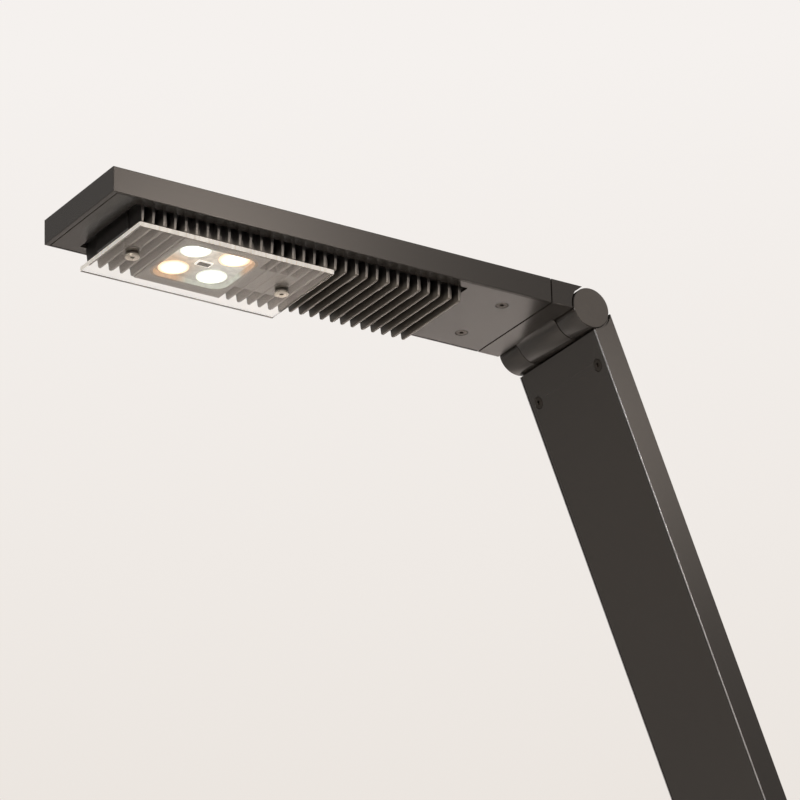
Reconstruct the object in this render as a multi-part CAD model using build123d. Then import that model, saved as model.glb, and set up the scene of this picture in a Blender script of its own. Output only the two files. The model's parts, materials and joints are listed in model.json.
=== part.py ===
from build123d import *

import math
import os

# A table-top piano lamp: a weighted base, a turntable, a flat arm and a flat head, joined by two
# barrel hinges. Millimetres, +Z up, origin at the middle of the base's underside. The head reaches
# out towards -X, and the hinge axes lie along Y.
#
# Head and arm are bars of one section. Each is drawn in a bar frame: origin on its hinge axis, +X
# along the bar away from that hinge, and +Z towards the bar's closed outer face.

# ------------------------------------------------------------------ bar section, head and arm alike
bar_width = 83.0
bar_thickness = 16.6
bar_side_wall = 1.0
bar_long_wall = 2.0
bar_edge_radius = 0.4
cover_thickness = 2.5
cover_gap = 0.6
seam_gap = 1.0
slide_fit = 0.2

# ------------------------------------------------------------------ barrel hinges, elbow and shoulder
barrel_radius = 13.3
barrel_chamfer = 0.4
axis_above_face = 3.4
knuckle_share = 0.5
knuckle_side_gap = 0.6
knuckle_blend = 4.0
barrel_clearance = 1.2
hinge_block_reach = 30.0
tongue_beyond_screws = 14.0
fork_tongue_beyond_screws = 25.4
axle_radius = 5.0
running_fit = 0.08
fixed_fit = 0.05
axle_head_radius = 8.0
axle_head_height = 4.0
axle_socket_width = 6.0
axle_socket_depth = 2.5
end_cap_thickness = 2.0
end_cap_rim = 0.4
end_cap_space = 0.5
washer_radius = 10.0
washer_thickness = 1.2
washer_recess = 0.7
lead_channel_width = 10.0
lead_channel_height = 3.0

# ------------------------------------------------------------------ head
head_reach = 340.6
head_end_wall = 3.0
head_corner_radius = 0.5
cover_screw_from_seam = 24.0
cover_screw_inset = 18.8
opening_tip_gap = 4.0
opening_hinge_gap = 4.8

# ------------------------------------------------------------------ heat sink
heat_sink_from_tip = 23.8
heat_sink_inset = 8.75
heat_sink_side_gap = 0.2
heat_sink_plate = 3.0
heat_sink_lap = 4.0
fin_count = 31
fin_pitch = 7.45
fin_root = 2.3
fin_tip = 1.6
fin_height = 10.0
fin_corner_radius = 1.0
ejector_every = 3
ejector_length = 14.6
ejector_thickness = 1.3
ejector_setback = 0.8
end_rib_length = 37.0
end_rib_thickness = 1.3
led_block_from_end = 32.4
led_block_length = 59.9
led_block_setback = 4.2
screw_pad_margin = 4.1
screw_pad_width = 29.0
screw_boss_radius = 5.5
pillar_radius = 6.0
pillar_end_inset = 22.0
pillar_side_inset = 10.5

# ------------------------------------------------------------------ light source
pocket_length = 52.0
pocket_width = 47.0
pocket_corner = 9.0
pocket_ledge = 2.0
pocket_depth = 9.0
ledge_depth = 4.8
board_thickness = 1.6
board_gap = 1.0
led_size = 5.0
led_height = 1.0
lens_plate_thickness = 2.0
lens_plate_gap = 0.3
lens_pitch = 26.6
lens_edge = 0.4
lens_rise = 2.0
collimator_edge = 0.4
collimator_throat = 4.0
collimator_gap = 0.1
clip_length = 8.0
clip_width = 4.0
clip_border = 1.3
clip_foot = 0.6
clip_height = 1.2

# ------------------------------------------------------------------ glare plate
glare_plate_end_overhang = 2.7
glare_plate_side_overhang = 3.0
glare_plate_length = 135.0
glare_plate_thickness = 3.0
glare_plate_corner = 0.8
glare_plate_standoff = 2.0
glare_screw_inset = 15.5
glare_screw_head_radius = 4.5
glare_screw_head_height = 2.2
glare_screw_depth = 8.0
spacer_radius = 4.0

# ------------------------------------------------------------------ screws
screw_radius = 2.0
screw_head_radius = 4.0
screw_head_land = 0.3
screw_head_depth = 2.3
screw_socket_width = 2.5
screw_socket_depth = 1.4
screw_length = 12.0
screw_boss_wall = 2.0
screw_boss_height = 5.0

# ------------------------------------------------------------------ arm
arm_length = 400.0
arm_lean = 20.9
arm_top_screw_from_axis = 34.6
arm_top_screw_inset = 9.0

# ------------------------------------------------------------------ leads inside the bars
lead_width = 6.0
lead_thickness = 1.2
lead_side_gap = 0.5

# ------------------------------------------------------------------ turret
shoulder_from_back = 70.0
turntable_margin = 6.9
turntable_thickness = 6.0
turntable_edge = 1.2
turntable_gap = 0.6
pedestal_height = 18.0
pedestal_foot_radius = 3.0
spindle_radius = 8.0
spindle_bore = 4.5
spindle_grip = 4.5
spindle_tail = 1.5
nut_radius = 15.0
nut_height = 4.5
disc_washer_radius = 14.0
disc_washer_thickness = 0.6
swivel_limit = 90.0
stop_pin_radius = 2.0
stop_pin_circle = 33.0
stop_pin_drop = 3.0
stop_slot_clearance = 0.3

# ------------------------------------------------------------------ base
base_length = 240.0
base_width = 200.0
base_corner = 14.0
base_rim_lift = 1.0
base_height = 17.0
base_side_wall = 2.5
base_top_wall = 3.5
base_edge_radius = 1.2
pad_thickness = 2.0
pad_gap = 0.5
base_plate_thickness = 1.5
base_plate_gap = 0.3
base_post_radius = 5.0
base_post_inset = 12.0
bush_radius = 11.0
bush_flange_radius = 14.0
bush_flange = 1.5
glide_ring_inset = 5.0
glide_ring_width = 6.0
glide_ring_thickness = 1.5
glide_ring_groove = 1.0
glide_gap = 0.1
ballast_thickness = 8.6
ballast_gap = 4.0
ballast_corner = 10.0
ballast_bore = 21.0

# ------------------------------------------------------------------ controls and electronics
button_radius = 7.0
button_side_gap = 0.35
button_proud = 0.8
button_travel = 1.0
button_flange = 1.5
button_flange_height = 1.2
button_seat_gap = 0.3
button_stem_radius = 2.5
button_stem_drop = 0.4
button_dish_depth = 0.5
button_inset = 24.0
button_spacing = 26.0
switch_size = 6.0
switch_height = 3.0
switch_actuator_radius = 1.7
switch_gap = 0.2
board_lift = 1.5
control_board_length = 26.0
control_board_width = 84.0
driver_board_length = 46.0
driver_board_width = 90.0
board_to_board = 5.0
board_post_radius = 2.5
board_post_inset = 3.5
coil_radius = 6.0
coil_height = 4.6
capacitor_size = 9.0
capacitor_height = 4.0
inlet_y = 35.0
inlet_radius = 4.5
inlet_wall_gap = 0.2
inlet_body_size = 9.0
inlet_body_length = 12.0
inlet_bore = 3.2
inlet_depth = 9.0
inlet_pin_radius = 1.0
inlet_pin_length = 7.5
inlet_notch_gap = 3.0

# ------------------------------------------------------------------ places worked out from the above
overcut = 1.0
bar_half = bar_width / 2
cavity_half = bar_half - bar_side_wall
inner_face = -axis_above_face
outer_face = bar_thickness - axis_above_face
cavity_ceiling = outer_face - bar_long_wall
cover_top = inner_face + cover_thickness
tongue_top = cavity_ceiling - slide_fit
relief_radius = barrel_radius + barrel_clearance
knuckle_half = bar_width * knuckle_share / 2
lug_start = knuckle_half + knuckle_side_gap
axle_seat = bar_half - end_cap_thickness - end_cap_space - axle_head_height

fin_tip_z = inner_face - fin_height
heat_sink_length = (fin_count - 1) * fin_pitch + fin_root
heat_sink_far_x = head_reach - heat_sink_from_tip
heat_sink_near_x = heat_sink_far_x - heat_sink_length
heat_sink_half = bar_half - heat_sink_inset
heat_sink_top = cover_top + heat_sink_plate
opening_far_x = heat_sink_far_x + opening_tip_gap
opening_near_x = heat_sink_near_x - opening_hinge_gap
opening_half = heat_sink_half + heat_sink_side_gap
led_block_far_x = heat_sink_far_x - led_block_from_end
led_block_near_x = led_block_far_x - led_block_length
led_x = (led_block_far_x + led_block_near_x) / 2
board_seat = fin_tip_z + pocket_depth
lens_seat = fin_tip_z + ledge_depth
lens_face = lens_seat - lens_plate_thickness
led_face = board_seat - board_thickness - led_height
lens_radius = pocket_width / 2 - lens_plate_gap - lens_pitch / 2 - lens_edge
collimator_radius = pocket_width / 2 - pocket_ledge - lens_pitch / 2 - collimator_edge

glare_plate_far_x = heat_sink_far_x + glare_plate_end_overhang
glare_plate_near_x = glare_plate_far_x - glare_plate_length
glare_plate_top = fin_tip_z - glare_plate_standoff
glare_plate_bottom = glare_plate_top - glare_plate_thickness
glare_screw_xs = [glare_plate_far_x - glare_screw_inset, glare_plate_near_x + glare_screw_inset]

cover_screw_x = hinge_block_reach + cover_screw_from_seam
cover_screw_y = bar_half - cover_screw_inset
cover_screw_places = [(cover_screw_x, side * cover_screw_y) for side in (-1, 1)]
tongue_reach = cover_screw_x + tongue_beyond_screws
arm_top_screw_y = bar_half - arm_top_screw_inset
arm_top_screw_places = [(arm_top_screw_from_axis, side * arm_top_screw_y) for side in (-1, 1)]
fork_tongue_reach = arm_top_screw_from_axis + fork_tongue_beyond_screws
arm_shell_end = arm_length - hinge_block_reach

base_cavity_length = base_length - 2 * base_side_wall
base_cavity_width = base_width - 2 * base_side_wall
base_cavity_corner = base_corner - base_side_wall
base_ceiling = base_height - base_top_wall
base_plate_top = pad_thickness + base_plate_thickness
ballast_top = base_plate_top + ballast_thickness
board_bottom = base_plate_top + board_lift
board_top = board_bottom + board_thickness
turntable_bottom = base_height + turntable_gap
turntable_top = turntable_bottom + turntable_thickness
shoulder_x = base_length / 2 - shoulder_from_back
shoulder_z = turntable_top + pedestal_height
turntable_radius = math.hypot(bar_half, barrel_radius) + turntable_margin
glide_ring_radius = turntable_radius - glide_ring_inset
lean_angle = math.radians(arm_lean)
elbow_x = shoulder_x - arm_length * math.sin(lean_angle)
elbow_z = shoulder_z + arm_length * math.cos(lean_angle)
bush_flange_bottom = base_ceiling - bush_flange
nut_top = bush_flange_bottom - glide_gap - disc_washer_thickness
spindle_bottom = nut_top - nut_height - spindle_tail
button_flange_top = base_ceiling - button_seat_gap
button_flange_bottom = button_flange_top - button_flange_height
button_stem_bottom = button_flange_bottom - button_stem_drop
switch_top = button_stem_bottom - button_travel - switch_gap
button_x = button_inset - base_length / 2
button_places = [(button_x, row * button_spacing) for row in (-1, 0, 1)]
driver_board_x = button_x + (control_board_length + driver_board_length) / 2 + board_to_board
ballast_front_x = driver_board_x + driver_board_length / 2 + board_to_board
inlet_z = base_plate_top + inlet_body_size / 2 + slide_fit

# where each frame stands in the lamp
in_head = Pos(elbow_x, 0, elbow_z) * Rot(0, 0, 180)
in_arm = Pos(elbow_x, 0, elbow_z) * Rot(0, 90 - arm_lean, 0)
in_arm_foot = in_arm * Pos(arm_length, 0, 0) * Rot(0, 0, 180)
at_shoulder = Pos(shoulder_x, 0, shoulder_z)


# ------------------------------------------------------------------ building helpers
def box_between(x0, x1, y0, y1, z0, z1):
    """A box given by its limits."""
    return Pos((x0 + x1) / 2, (y0 + y1) / 2, (z0 + z1) / 2) * Box(x1 - x0, y1 - y0, z1 - z0)


def wide_box(x0, x1, half_width, z0, z1):
    """A box that is centred on the bar's middle plane."""
    return box_between(x0, x1, -half_width, half_width, z0, z1)


def rod(radius, y0, y1):
    """A round bar along Y on the hinge axis."""
    return Pos(0, (y0 + y1) / 2, 0) * Rot(90, 0, 0) * Cylinder(radius, y1 - y0)


def post(radius, z0, z1):
    """A round bar along Z on the origin."""
    return Pos(0, 0, (z0 + z1) / 2) * Cylinder(radius, z1 - z0)


def rounded_slab(length, width, corner, z0, z1):
    """A plate with round upright corners."""
    return extrude(Pos(0, 0, z0) * RectangleRounded(length, width, corner), z1 - z0)


def ring(outer, inner, z0, z1):
    """A flat ring round Z."""
    return post(outer, z0, z1) - post(inner, z0 - overcut, z1 + overcut)


def at_places(shape, places, z=0.0):
    """The same solid at each (x, y) of a pattern, as one group."""
    return Part() + [Pos(x, y, z) * shape for x, y in places]


# ------------------------------------------------------------------ countersunk screws
def countersunk_form(length, clearance=0.0):
    """A countersunk screw's outline turned round Z, its flat head at z = 0 and its shank upwards."""
    head = screw_head_radius + clearance
    shank = screw_radius + clearance
    with BuildPart() as form:
        with BuildSketch(Plane.XZ):
            with BuildLine():
                Polyline(
                    (0, -clearance),
                    (head, -clearance),
                    (head, screw_head_land),
                    (shank, screw_head_depth),
                    (shank, length + clearance),
                    (0, length + clearance),
                    close=True,
                )
            make_face()
        revolve(axis=Axis.Z)
    return form.part


def hex_socket(width, depth):
    """The hexagonal recess of a socket screw, open at z = 0."""
    hexagon = RegularPolygon(width / 2, 6, major_radius=False)
    return extrude(Pos(0, 0, -overcut) * hexagon, depth + overcut)


def countersunk_screw():
    return countersunk_form(screw_length) - hex_socket(screw_socket_width, screw_socket_depth)


def screw_holes(places):
    """Clearance for countersunk screws that enter through a bar's inner face."""
    return at_places(countersunk_form(screw_length, fixed_fit), places, inner_face)


# ------------------------------------------------------------------ bars
def bar_block(x0, x1):
    """A solid length of the bar section with its long edges rounded."""
    block = wide_box(x0, x1, bar_half, inner_face, outer_face)
    return fillet(block.edges().filter_by(Axis.X), bar_edge_radius)


def bar_cavity(x0, x1):
    """What is hollow between the side walls, open through the inner face."""
    return wide_box(x0, x1, cavity_half, inner_face - overcut, cavity_ceiling)


def cover_blank(x0, x1):
    return wide_box(x0, x1, cavity_half - cover_gap, inner_face, cover_top)


def screw_bosses(places):
    """Round bosses that hang from the shell's long wall and take the screws' threads."""
    radius = screw_radius + screw_boss_wall
    boss = post(radius, cavity_ceiling - screw_boss_height, cavity_ceiling + bar_long_wall / 2)
    return at_places(boss, places)


def boss_room(places):
    """The pockets that a tongue has for the shell's screw bosses."""
    radius = screw_radius + screw_boss_wall + slide_fit
    pocket = post(radius, cavity_ceiling - screw_boss_height - slide_fit, outer_face)
    return at_places(pocket, places)


def lead_channel(x0, x1):
    """The passage for the leads through a tongue, under the shell's long wall."""
    return wide_box(x0, x1, lead_channel_width / 2, tongue_top - lead_channel_height, outer_face)


# ------------------------------------------------------------------ barrel hinges
def knuckle():
    """The middle of the barrel with the bridge that blends it into its bar."""
    bridge = wide_box(0, hinge_block_reach - seam_gap, knuckle_half, inner_face, outer_face)
    body = bridge + rod(barrel_radius, -knuckle_half, knuckle_half)
    crease_x = math.sqrt(barrel_radius**2 - axis_above_face**2)
    crease = body.edges().filter_by(Axis.Y).sort_by_distance((crease_x, 0, inner_face))[0]
    return fillet(crease, knuckle_blend)


def hinge_block():
    """The cast end of a bar: knuckle, hollow ends round the lugs, and a tongue for the shell."""
    cheeks = bar_block(0, hinge_block_reach - seam_gap) - rod(relief_radius, -bar_width, bar_width)
    tongue = wide_box(
        hinge_block_reach - seam_gap - overcut, tongue_reach, cavity_half - slide_fit, cover_top, tongue_top
    )
    block = cheeks + knuckle() + tongue
    block -= rod(axle_radius + running_fit, -bar_width, bar_width)
    recess = rod(washer_radius + fixed_fit, knuckle_half - washer_recess, knuckle_half + overcut)
    block -= recess + mirror(recess, about=Plane.XZ)
    block -= screw_holes(cover_screw_places) + boss_room(cover_screw_places)
    return block - lead_channel(hinge_block_reach, tongue_reach + overcut)


def lug_pair():
    """The two outer thirds of the barrel, bored for the axle and recessed for its ends and caps."""
    lug = rod(barrel_radius, lug_start, bar_half)
    lug = chamfer(lug.edges().filter_by(GeomType.CIRCLE).sort_by(Axis.Y)[-1], barrel_chamfer)
    lug -= rod(axle_radius + fixed_fit, 0, bar_width)
    lug -= rod(axle_head_radius + slide_fit, axle_seat, bar_width)
    lug -= rod(barrel_radius - end_cap_rim, bar_half - end_cap_thickness, bar_width)
    return lug + mirror(lug, about=Plane.XZ)


def lug_room():
    """What a fork leaves clear: the knuckle's space and every bore of the lugs."""
    room = rod(relief_radius, -lug_start, lug_start)
    room += rod(axle_radius + fixed_fit, -bar_width, bar_width)
    end_room = rod(axle_head_radius + slide_fit, axle_seat, bar_width)
    end_room += rod(barrel_radius - end_cap_rim, bar_half - end_cap_thickness, bar_width)
    return room + end_room + mirror(end_room, about=Plane.XZ)


def axle():
    """A socket-headed hinge bolt."""
    head = rod(axle_head_radius, -axle_seat - axle_head_height, -axle_seat)
    socket = Pos(0, -axle_seat - axle_head_height, 0) * Rot(-90, 0, 0)
    shaft = rod(axle_radius, -axle_seat - overcut, axle_seat + axle_head_height)
    return head + shaft - socket * hex_socket(axle_socket_width, axle_socket_depth)


def axle_nut():
    """The hexagonal nut that sets the hinge's friction."""
    hexagon = RegularPolygon(axle_head_radius, 6)
    nut = Pos(0, axle_seat, 0) * Rot(-90, 0, 0) * extrude(hexagon, axle_head_height)
    return nut - rod(axle_radius + fixed_fit, 0, bar_width)


def friction_washers():
    """A washer in each recess of the knuckle, standing just short of the lugs."""
    start = knuckle_half - washer_recess
    washer = rod(washer_radius, start, start + washer_thickness)
    washer -= rod(axle_radius + running_fit, 0, bar_width)
    return washer + mirror(washer, about=Plane.XZ)


def end_caps():
    """Flat discs that close the barrel's ends."""
    cap = rod(barrel_radius - end_cap_rim - fixed_fit, bar_half - end_cap_thickness, bar_half)
    return cap + mirror(cap, about=Plane.XZ)


# ------------------------------------------------------------------ head
def head_shell():
    body = bar_block(hinge_block_reach, head_reach)
    tip_edges = body.edges().filter_by(Axis.Z).group_by(Axis.X)[-1]
    body = fillet(tip_edges, head_corner_radius)
    body -= bar_cavity(hinge_block_reach - overcut, head_reach - head_end_wall)
    body += screw_bosses(cover_screw_places)
    return body - screw_holes(cover_screw_places)


def head_cover():
    plate = cover_blank(hinge_block_reach, head_reach - head_end_wall - cover_gap)
    plate -= wide_box(
        opening_near_x, opening_far_x, opening_half, inner_face - overcut, cover_top + overcut
    )
    return plate - screw_holes(cover_screw_places)


def fin():
    """One tapered fin across the head, its root at the base plate and its tip corners rounded."""
    root, tip = fin_root / 2, fin_tip / 2
    with BuildPart() as blade:
        with BuildSketch(Plane.XZ):
            with BuildLine():
                Polyline(
                    (-root, cover_top),
                    (root, cover_top),
                    (tip, fin_tip_z),
                    (-tip, fin_tip_z),
                    close=True,
                )
            make_face()
        extrude(amount=heat_sink_half, both=True)
    corners = blade.part.edges().filter_by(Axis.X).group_by(Axis.Z)[0]
    return fillet(corners, fin_corner_radius)


def ejector_pads(fin_x):
    """The thicker ends that a fin has where it is pushed out of its mould."""
    outside = heat_sink_half - ejector_setback
    inside = heat_sink_half - ejector_length
    face_x = fin_x - fin_tip / 2 - ejector_thickness
    pad = box_between(face_x, fin_x, inside, outside, fin_tip_z + ejector_setback, cover_top)
    return pad + mirror(pad, about=Plane.XZ)


def heat_sink():
    """The die-cast cooler: plate, comb of fins, block for the light source, pad and boss for screws."""
    body = wide_box(
        opening_near_x - heat_sink_lap,
        opening_far_x + heat_sink_lap,
        opening_half + heat_sink_lap,
        cover_top,
        heat_sink_top,
    )
    blade = fin()
    fins = []
    for count in range(fin_count):
        fin_x = heat_sink_far_x - fin_root / 2 - count * fin_pitch
        fins.append(Pos(fin_x, 0, 0) * blade)
        if (count + 1) % ejector_every == 0:
            fins.append(ejector_pads(fin_x))
    body += fins
    body += box_between(
        led_block_near_x,
        led_block_far_x,
        -heat_sink_half,
        heat_sink_half - led_block_setback,
        fin_tip_z,
        cover_top,
    )
    pad_x = glare_screw_xs[1] - screw_pad_margin
    body += wide_box(pad_x, led_block_near_x, screw_pad_width / 2, fin_tip_z, cover_top)
    body += wide_box(
        heat_sink_far_x - fin_root,
        heat_sink_far_x + end_rib_thickness,
        end_rib_length / 2,
        fin_tip_z + ejector_setback,
        cover_top,
    )
    body += Pos(glare_screw_xs[0], 0, 0) * post(screw_boss_radius, fin_tip_z, cover_top)
    pillar_y = heat_sink_half - pillar_side_inset
    pillar_xs = (heat_sink_near_x + pillar_end_inset, heat_sink_far_x - pillar_end_inset)
    pillar = post(pillar_radius, cover_top, cavity_ceiling)
    body += at_places(pillar, [(x, side * pillar_y) for x in pillar_xs for side in (-1, 1)])
    body -= Pos(led_x, 0, 0) * light_pocket()
    body -= lead_drop(lead_side_gap)
    hole = post(screw_radius + fixed_fit, fin_tip_z - overcut, fin_tip_z + glare_screw_depth + slide_fit)
    return body - at_places(hole, [(x, 0) for x in glare_screw_xs])


def light_pocket():
    """The stepped recess for board and lenses."""
    mouth = rounded_slab(pocket_length, pocket_width, pocket_corner, fin_tip_z - overcut, lens_seat)
    well = rounded_slab(
        pocket_length - 2 * pocket_ledge,
        pocket_width - 2 * pocket_ledge,
        pocket_corner - pocket_ledge,
        lens_seat - overcut,
        board_seat,
    )
    return mouth + well


# ------------------------------------------------------------------ light source
def led_board():
    side_cut = 2 * (pocket_ledge + board_gap)
    corner = pocket_corner - pocket_ledge - board_gap
    return Pos(led_x, 0, 0) * rounded_slab(
        pocket_length - side_cut, pocket_width - side_cut, corner, board_seat - board_thickness, board_seat
    )


def lens_places(diagonals):
    """Lens centres, with the product of their signs, which tells one diagonal from the other."""
    half = lens_pitch / 2
    return [(led_x + a * half, b * half) for a in (-1, 1) for b in (-1, 1) if a * b in diagonals]


def led_packages(diagonal):
    """The two emitters on one diagonal, on the board's face."""
    package = Pos(0, 0, led_face) * Box(
        led_size, led_size, led_height, align=(Align.CENTER, Align.CENTER, Align.MIN)
    )
    return at_places(package, lens_places([diagonal]))


def lens():
    """A domed lens with its collimator behind it."""
    sphere_radius = (lens_radius**2 + lens_rise**2) / (2 * lens_rise)
    dome = Pos(0, 0, lens_face - lens_rise + sphere_radius) * Sphere(sphere_radius)
    dome &= post(lens_radius, lens_face - 2 * lens_rise, lens_face + lens_plate_thickness / 2)
    depth = led_face - collimator_gap - lens_seat
    cone = Pos(0, 0, lens_seat + depth / 2) * Cone(collimator_radius, collimator_throat, depth)
    return dome + cone


def lens_array():
    plate = rounded_slab(
        pocket_length - 2 * lens_plate_gap,
        pocket_width - 2 * lens_plate_gap,
        pocket_corner - lens_plate_gap,
        lens_face,
        lens_seat,
    )
    return Pos(led_x, 0, 0) * plate + at_places(lens(), lens_places([-1, 1]))


def lens_clip():
    """The small clip between the four lenses that holds their plate."""
    foot = Box(clip_length + 2 * clip_border, clip_width + 2 * clip_border, clip_foot)
    head = Box(clip_length, clip_width, clip_height)
    at_face = Pos(led_x, 0, lens_face)
    return at_face * (Pos(0, 0, -clip_foot / 2) * foot + Pos(0, 0, -clip_height / 2) * head)


def glare_plate():
    middle = (glare_plate_near_x + glare_plate_far_x) / 2
    width = 2 * (heat_sink_half + glare_plate_side_overhang)
    plate = Pos(middle, 0, 0) * rounded_slab(
        glare_plate_length, width, glare_plate_corner, glare_plate_bottom, glare_plate_top
    )
    hole = post(screw_radius + slide_fit, glare_plate_bottom - overcut, glare_plate_top + overcut)
    return plate - at_places(hole, [(x, 0) for x in glare_screw_xs])


def glare_plate_screws():
    head = post(glare_screw_head_radius, glare_plate_bottom - glare_screw_head_height, glare_plate_bottom)
    head = chamfer(head.edges().sort_by(Axis.Z)[0], barrel_chamfer)
    screw = head + post(screw_radius, glare_plate_bottom - overcut, fin_tip_z + glare_screw_depth)
    socket = Pos(0, 0, glare_plate_bottom - glare_screw_head_height)
    screw -= socket * hex_socket(screw_socket_width, screw_socket_depth)
    return at_places(screw, [(x, 0) for x in glare_screw_xs])


def glare_plate_spacers():
    spacer = ring(spacer_radius, screw_radius + slide_fit, glare_plate_top, fin_tip_z)
    return at_places(spacer, [(x, 0) for x in glare_screw_xs])


def lead_drop(clearance=0.0):
    """The leads' way down from the shell's long wall to the back of the light source's board."""
    half = lead_thickness / 2 + clearance
    return wide_box(led_x - half, led_x + half, lead_width / 2 + clearance, board_seat, cavity_ceiling)


def ceiling_leads(x0, x1):
    """Flat leads on the inside of a bar's long wall."""
    return wide_box(x0, x1, lead_width / 2, cavity_ceiling - lead_thickness, cavity_ceiling)


def head_leads():
    return ceiling_leads(hinge_block_reach, led_x) + lead_drop()


# ------------------------------------------------------------------ arm
def arm_shell():
    body = bar_block(0, arm_shell_end) - bar_cavity(-overcut, arm_shell_end + overcut)
    body += screw_bosses(arm_screw_places())
    body -= screw_holes(arm_screw_places())
    return body - rod(relief_radius, -bar_width, bar_width)


def arm_screw_places():
    """Screws at the fork and, counted from the shoulder, at the foot's tongue."""
    foot = [(arm_length - x, y) for x, y in cover_screw_places]
    return arm_top_screw_places + foot


def arm_cover():
    plate = cover_blank(0, arm_shell_end) - rod(relief_radius, -bar_width, bar_width)
    return plate - screw_holes(arm_screw_places())


def elbow_fork():
    """The cast fitting in the arm's top: a tongue with a neck to each of the two lugs."""
    body = wide_box(0, fork_tongue_reach, cavity_half - slide_fit, cover_top, tongue_top)
    body -= lug_room()
    body += lug_pair()
    body -= screw_holes(arm_top_screw_places) + boss_room(arm_top_screw_places)
    return body - lead_channel(relief_radius, fork_tongue_reach + overcut)


def arm_leads():
    return ceiling_leads(hinge_block_reach, arm_shell_end)


# ------------------------------------------------------------------ turret
def turret():
    """Turntable and pedestal in one casting, drawn from the shoulder axis."""
    top = turntable_top - shoulder_z
    bottom = turntable_bottom - shoulder_z
    disc = post(turntable_radius, bottom, top)
    disc = fillet(disc.edges().sort_by(Axis.Z)[-1], turntable_edge)
    pedestal = wide_box(-barrel_radius, barrel_radius, bar_half - slide_fit, top - overcut, 0)
    body = disc + pedestal
    foot = body.edges().filter_by_position(Axis.Z, top - 0.01, top + 0.01).filter_by(GeomType.LINE)
    body = fillet(foot, pedestal_foot_radius)
    body -= lug_room()
    body += lug_pair()
    body -= post(spindle_radius + fixed_fit, bottom - overcut, bottom + spindle_grip)
    body -= post(spindle_bore, bottom - overcut, 0)
    pin_room = post(stop_pin_radius + fixed_fit, bottom - overcut, bottom + stop_pin_drop)
    return body - Pos(stop_pin_circle, 0, 0) * pin_room


def swivel_spindle():
    """The hollow spindle that the turret turns on."""
    return Pos(shoulder_x, 0, 0) * ring(
        spindle_radius, spindle_bore, spindle_bottom, turntable_bottom + spindle_grip
    )


def swivel_nut():
    hexagon = RegularPolygon(nut_radius, 6)
    nut = extrude(Pos(0, 0, nut_top - nut_height) * hexagon, nut_height)
    nut -= post(spindle_radius + fixed_fit, 0, base_height)
    return Pos(shoulder_x, 0, 0) * nut


def swivel_washer():
    washer = ring(disc_washer_radius, spindle_radius + fixed_fit, nut_top, nut_top + disc_washer_thickness)
    return Pos(shoulder_x, 0, 0) * washer


def stop_pin():
    """The pin under the turntable that meets the ends of the base's curved slot."""
    pin = post(stop_pin_radius, turntable_bottom - stop_pin_drop, turntable_bottom + stop_pin_drop)
    return Pos(shoulder_x + stop_pin_circle, 0, 0) * pin


# ------------------------------------------------------------------ base
def stop_slot():
    """A curved slot round the spindle, as long as the swivel's range."""
    width = 2 * (stop_pin_radius + stop_slot_clearance)
    floor = turntable_bottom - stop_pin_drop - stop_slot_clearance
    end_angle = swivel_limit + math.degrees(stop_slot_clearance / stop_pin_circle)
    slot = SlotArc(CenterArc((0, 0), stop_pin_circle, -end_angle, 2 * end_angle), width)
    return Pos(shoulder_x, 0, floor) * extrude(slot, base_height + overcut - floor)


def base_post_places():
    x = base_cavity_length / 2 - base_post_inset
    y = base_cavity_width / 2 - base_post_inset
    return [(a * x, b * y) for a in (-1, 1) for b in (-1, 1)]


def base_housing():
    """The base's cast shell: closed on top, open below, with posts for the plate's screws."""
    body = rounded_slab(base_length, base_width, base_corner, base_rim_lift, base_height)
    body = fillet(body.edges().group_by(Axis.Z)[-1], base_edge_radius)
    body -= rounded_slab(
        base_cavity_length, base_cavity_width, base_cavity_corner, base_rim_lift - overcut, base_ceiling
    )
    body += at_places(post(base_post_radius, base_plate_top, base_ceiling + overcut), base_post_places())
    body -= at_places(countersunk_form(screw_length, fixed_fit), base_post_places(), pad_thickness)
    body -= Pos(shoulder_x, 0, 0) * post(bush_radius, base_ceiling - overcut, base_height + overcut)
    outer = glide_ring_radius + fixed_fit
    inner = glide_ring_radius - glide_ring_width - fixed_fit
    groove = ring(outer, inner, base_height - glide_ring_groove, base_height + overcut)
    body -= Pos(shoulder_x, 0, 0) * groove
    body -= stop_slot()
    button_hole = post(button_radius + button_side_gap, base_ceiling - overcut, base_height + overcut)
    body -= at_places(button_hole, button_places)
    inlet_hole = Rot(0, 90, 0) * Cylinder(inlet_radius + inlet_wall_gap, 2 * inlet_body_length)
    return body - Pos(base_length / 2, inlet_y, inlet_z) * inlet_hole


def base_plate():
    """The steel bottom, with pressed posts that carry the boards."""
    body = rounded_slab(
        base_cavity_length - 2 * base_plate_gap,
        base_cavity_width - 2 * base_plate_gap,
        base_cavity_corner - base_plate_gap,
        pad_thickness,
        base_plate_top,
    )
    stud = post(board_post_radius, base_plate_top - base_plate_thickness / 2, board_bottom)
    body += at_places(stud, board_corners(button_x, control_board_length, control_board_width))
    body += at_places(stud, board_corners(driver_board_x, driver_board_length, driver_board_width))
    return body - at_places(countersunk_form(screw_length, fixed_fit), base_post_places(), pad_thickness)


def board_corners(middle_x, length, width):
    x = length / 2 - board_post_inset
    y = width / 2 - board_post_inset
    return [(middle_x + a * x, b * y) for a in (-1, 1) for b in (-1, 1)]


def base_plate_screws():
    return at_places(countersunk_screw(), base_post_places(), pad_thickness)


def base_pad():
    """The soft non-slip sheet that the lamp stands on."""
    return rounded_slab(
        base_cavity_length - 2 * pad_gap,
        base_cavity_width - 2 * pad_gap,
        base_cavity_corner - pad_gap,
        0,
        pad_thickness,
    )


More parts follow.
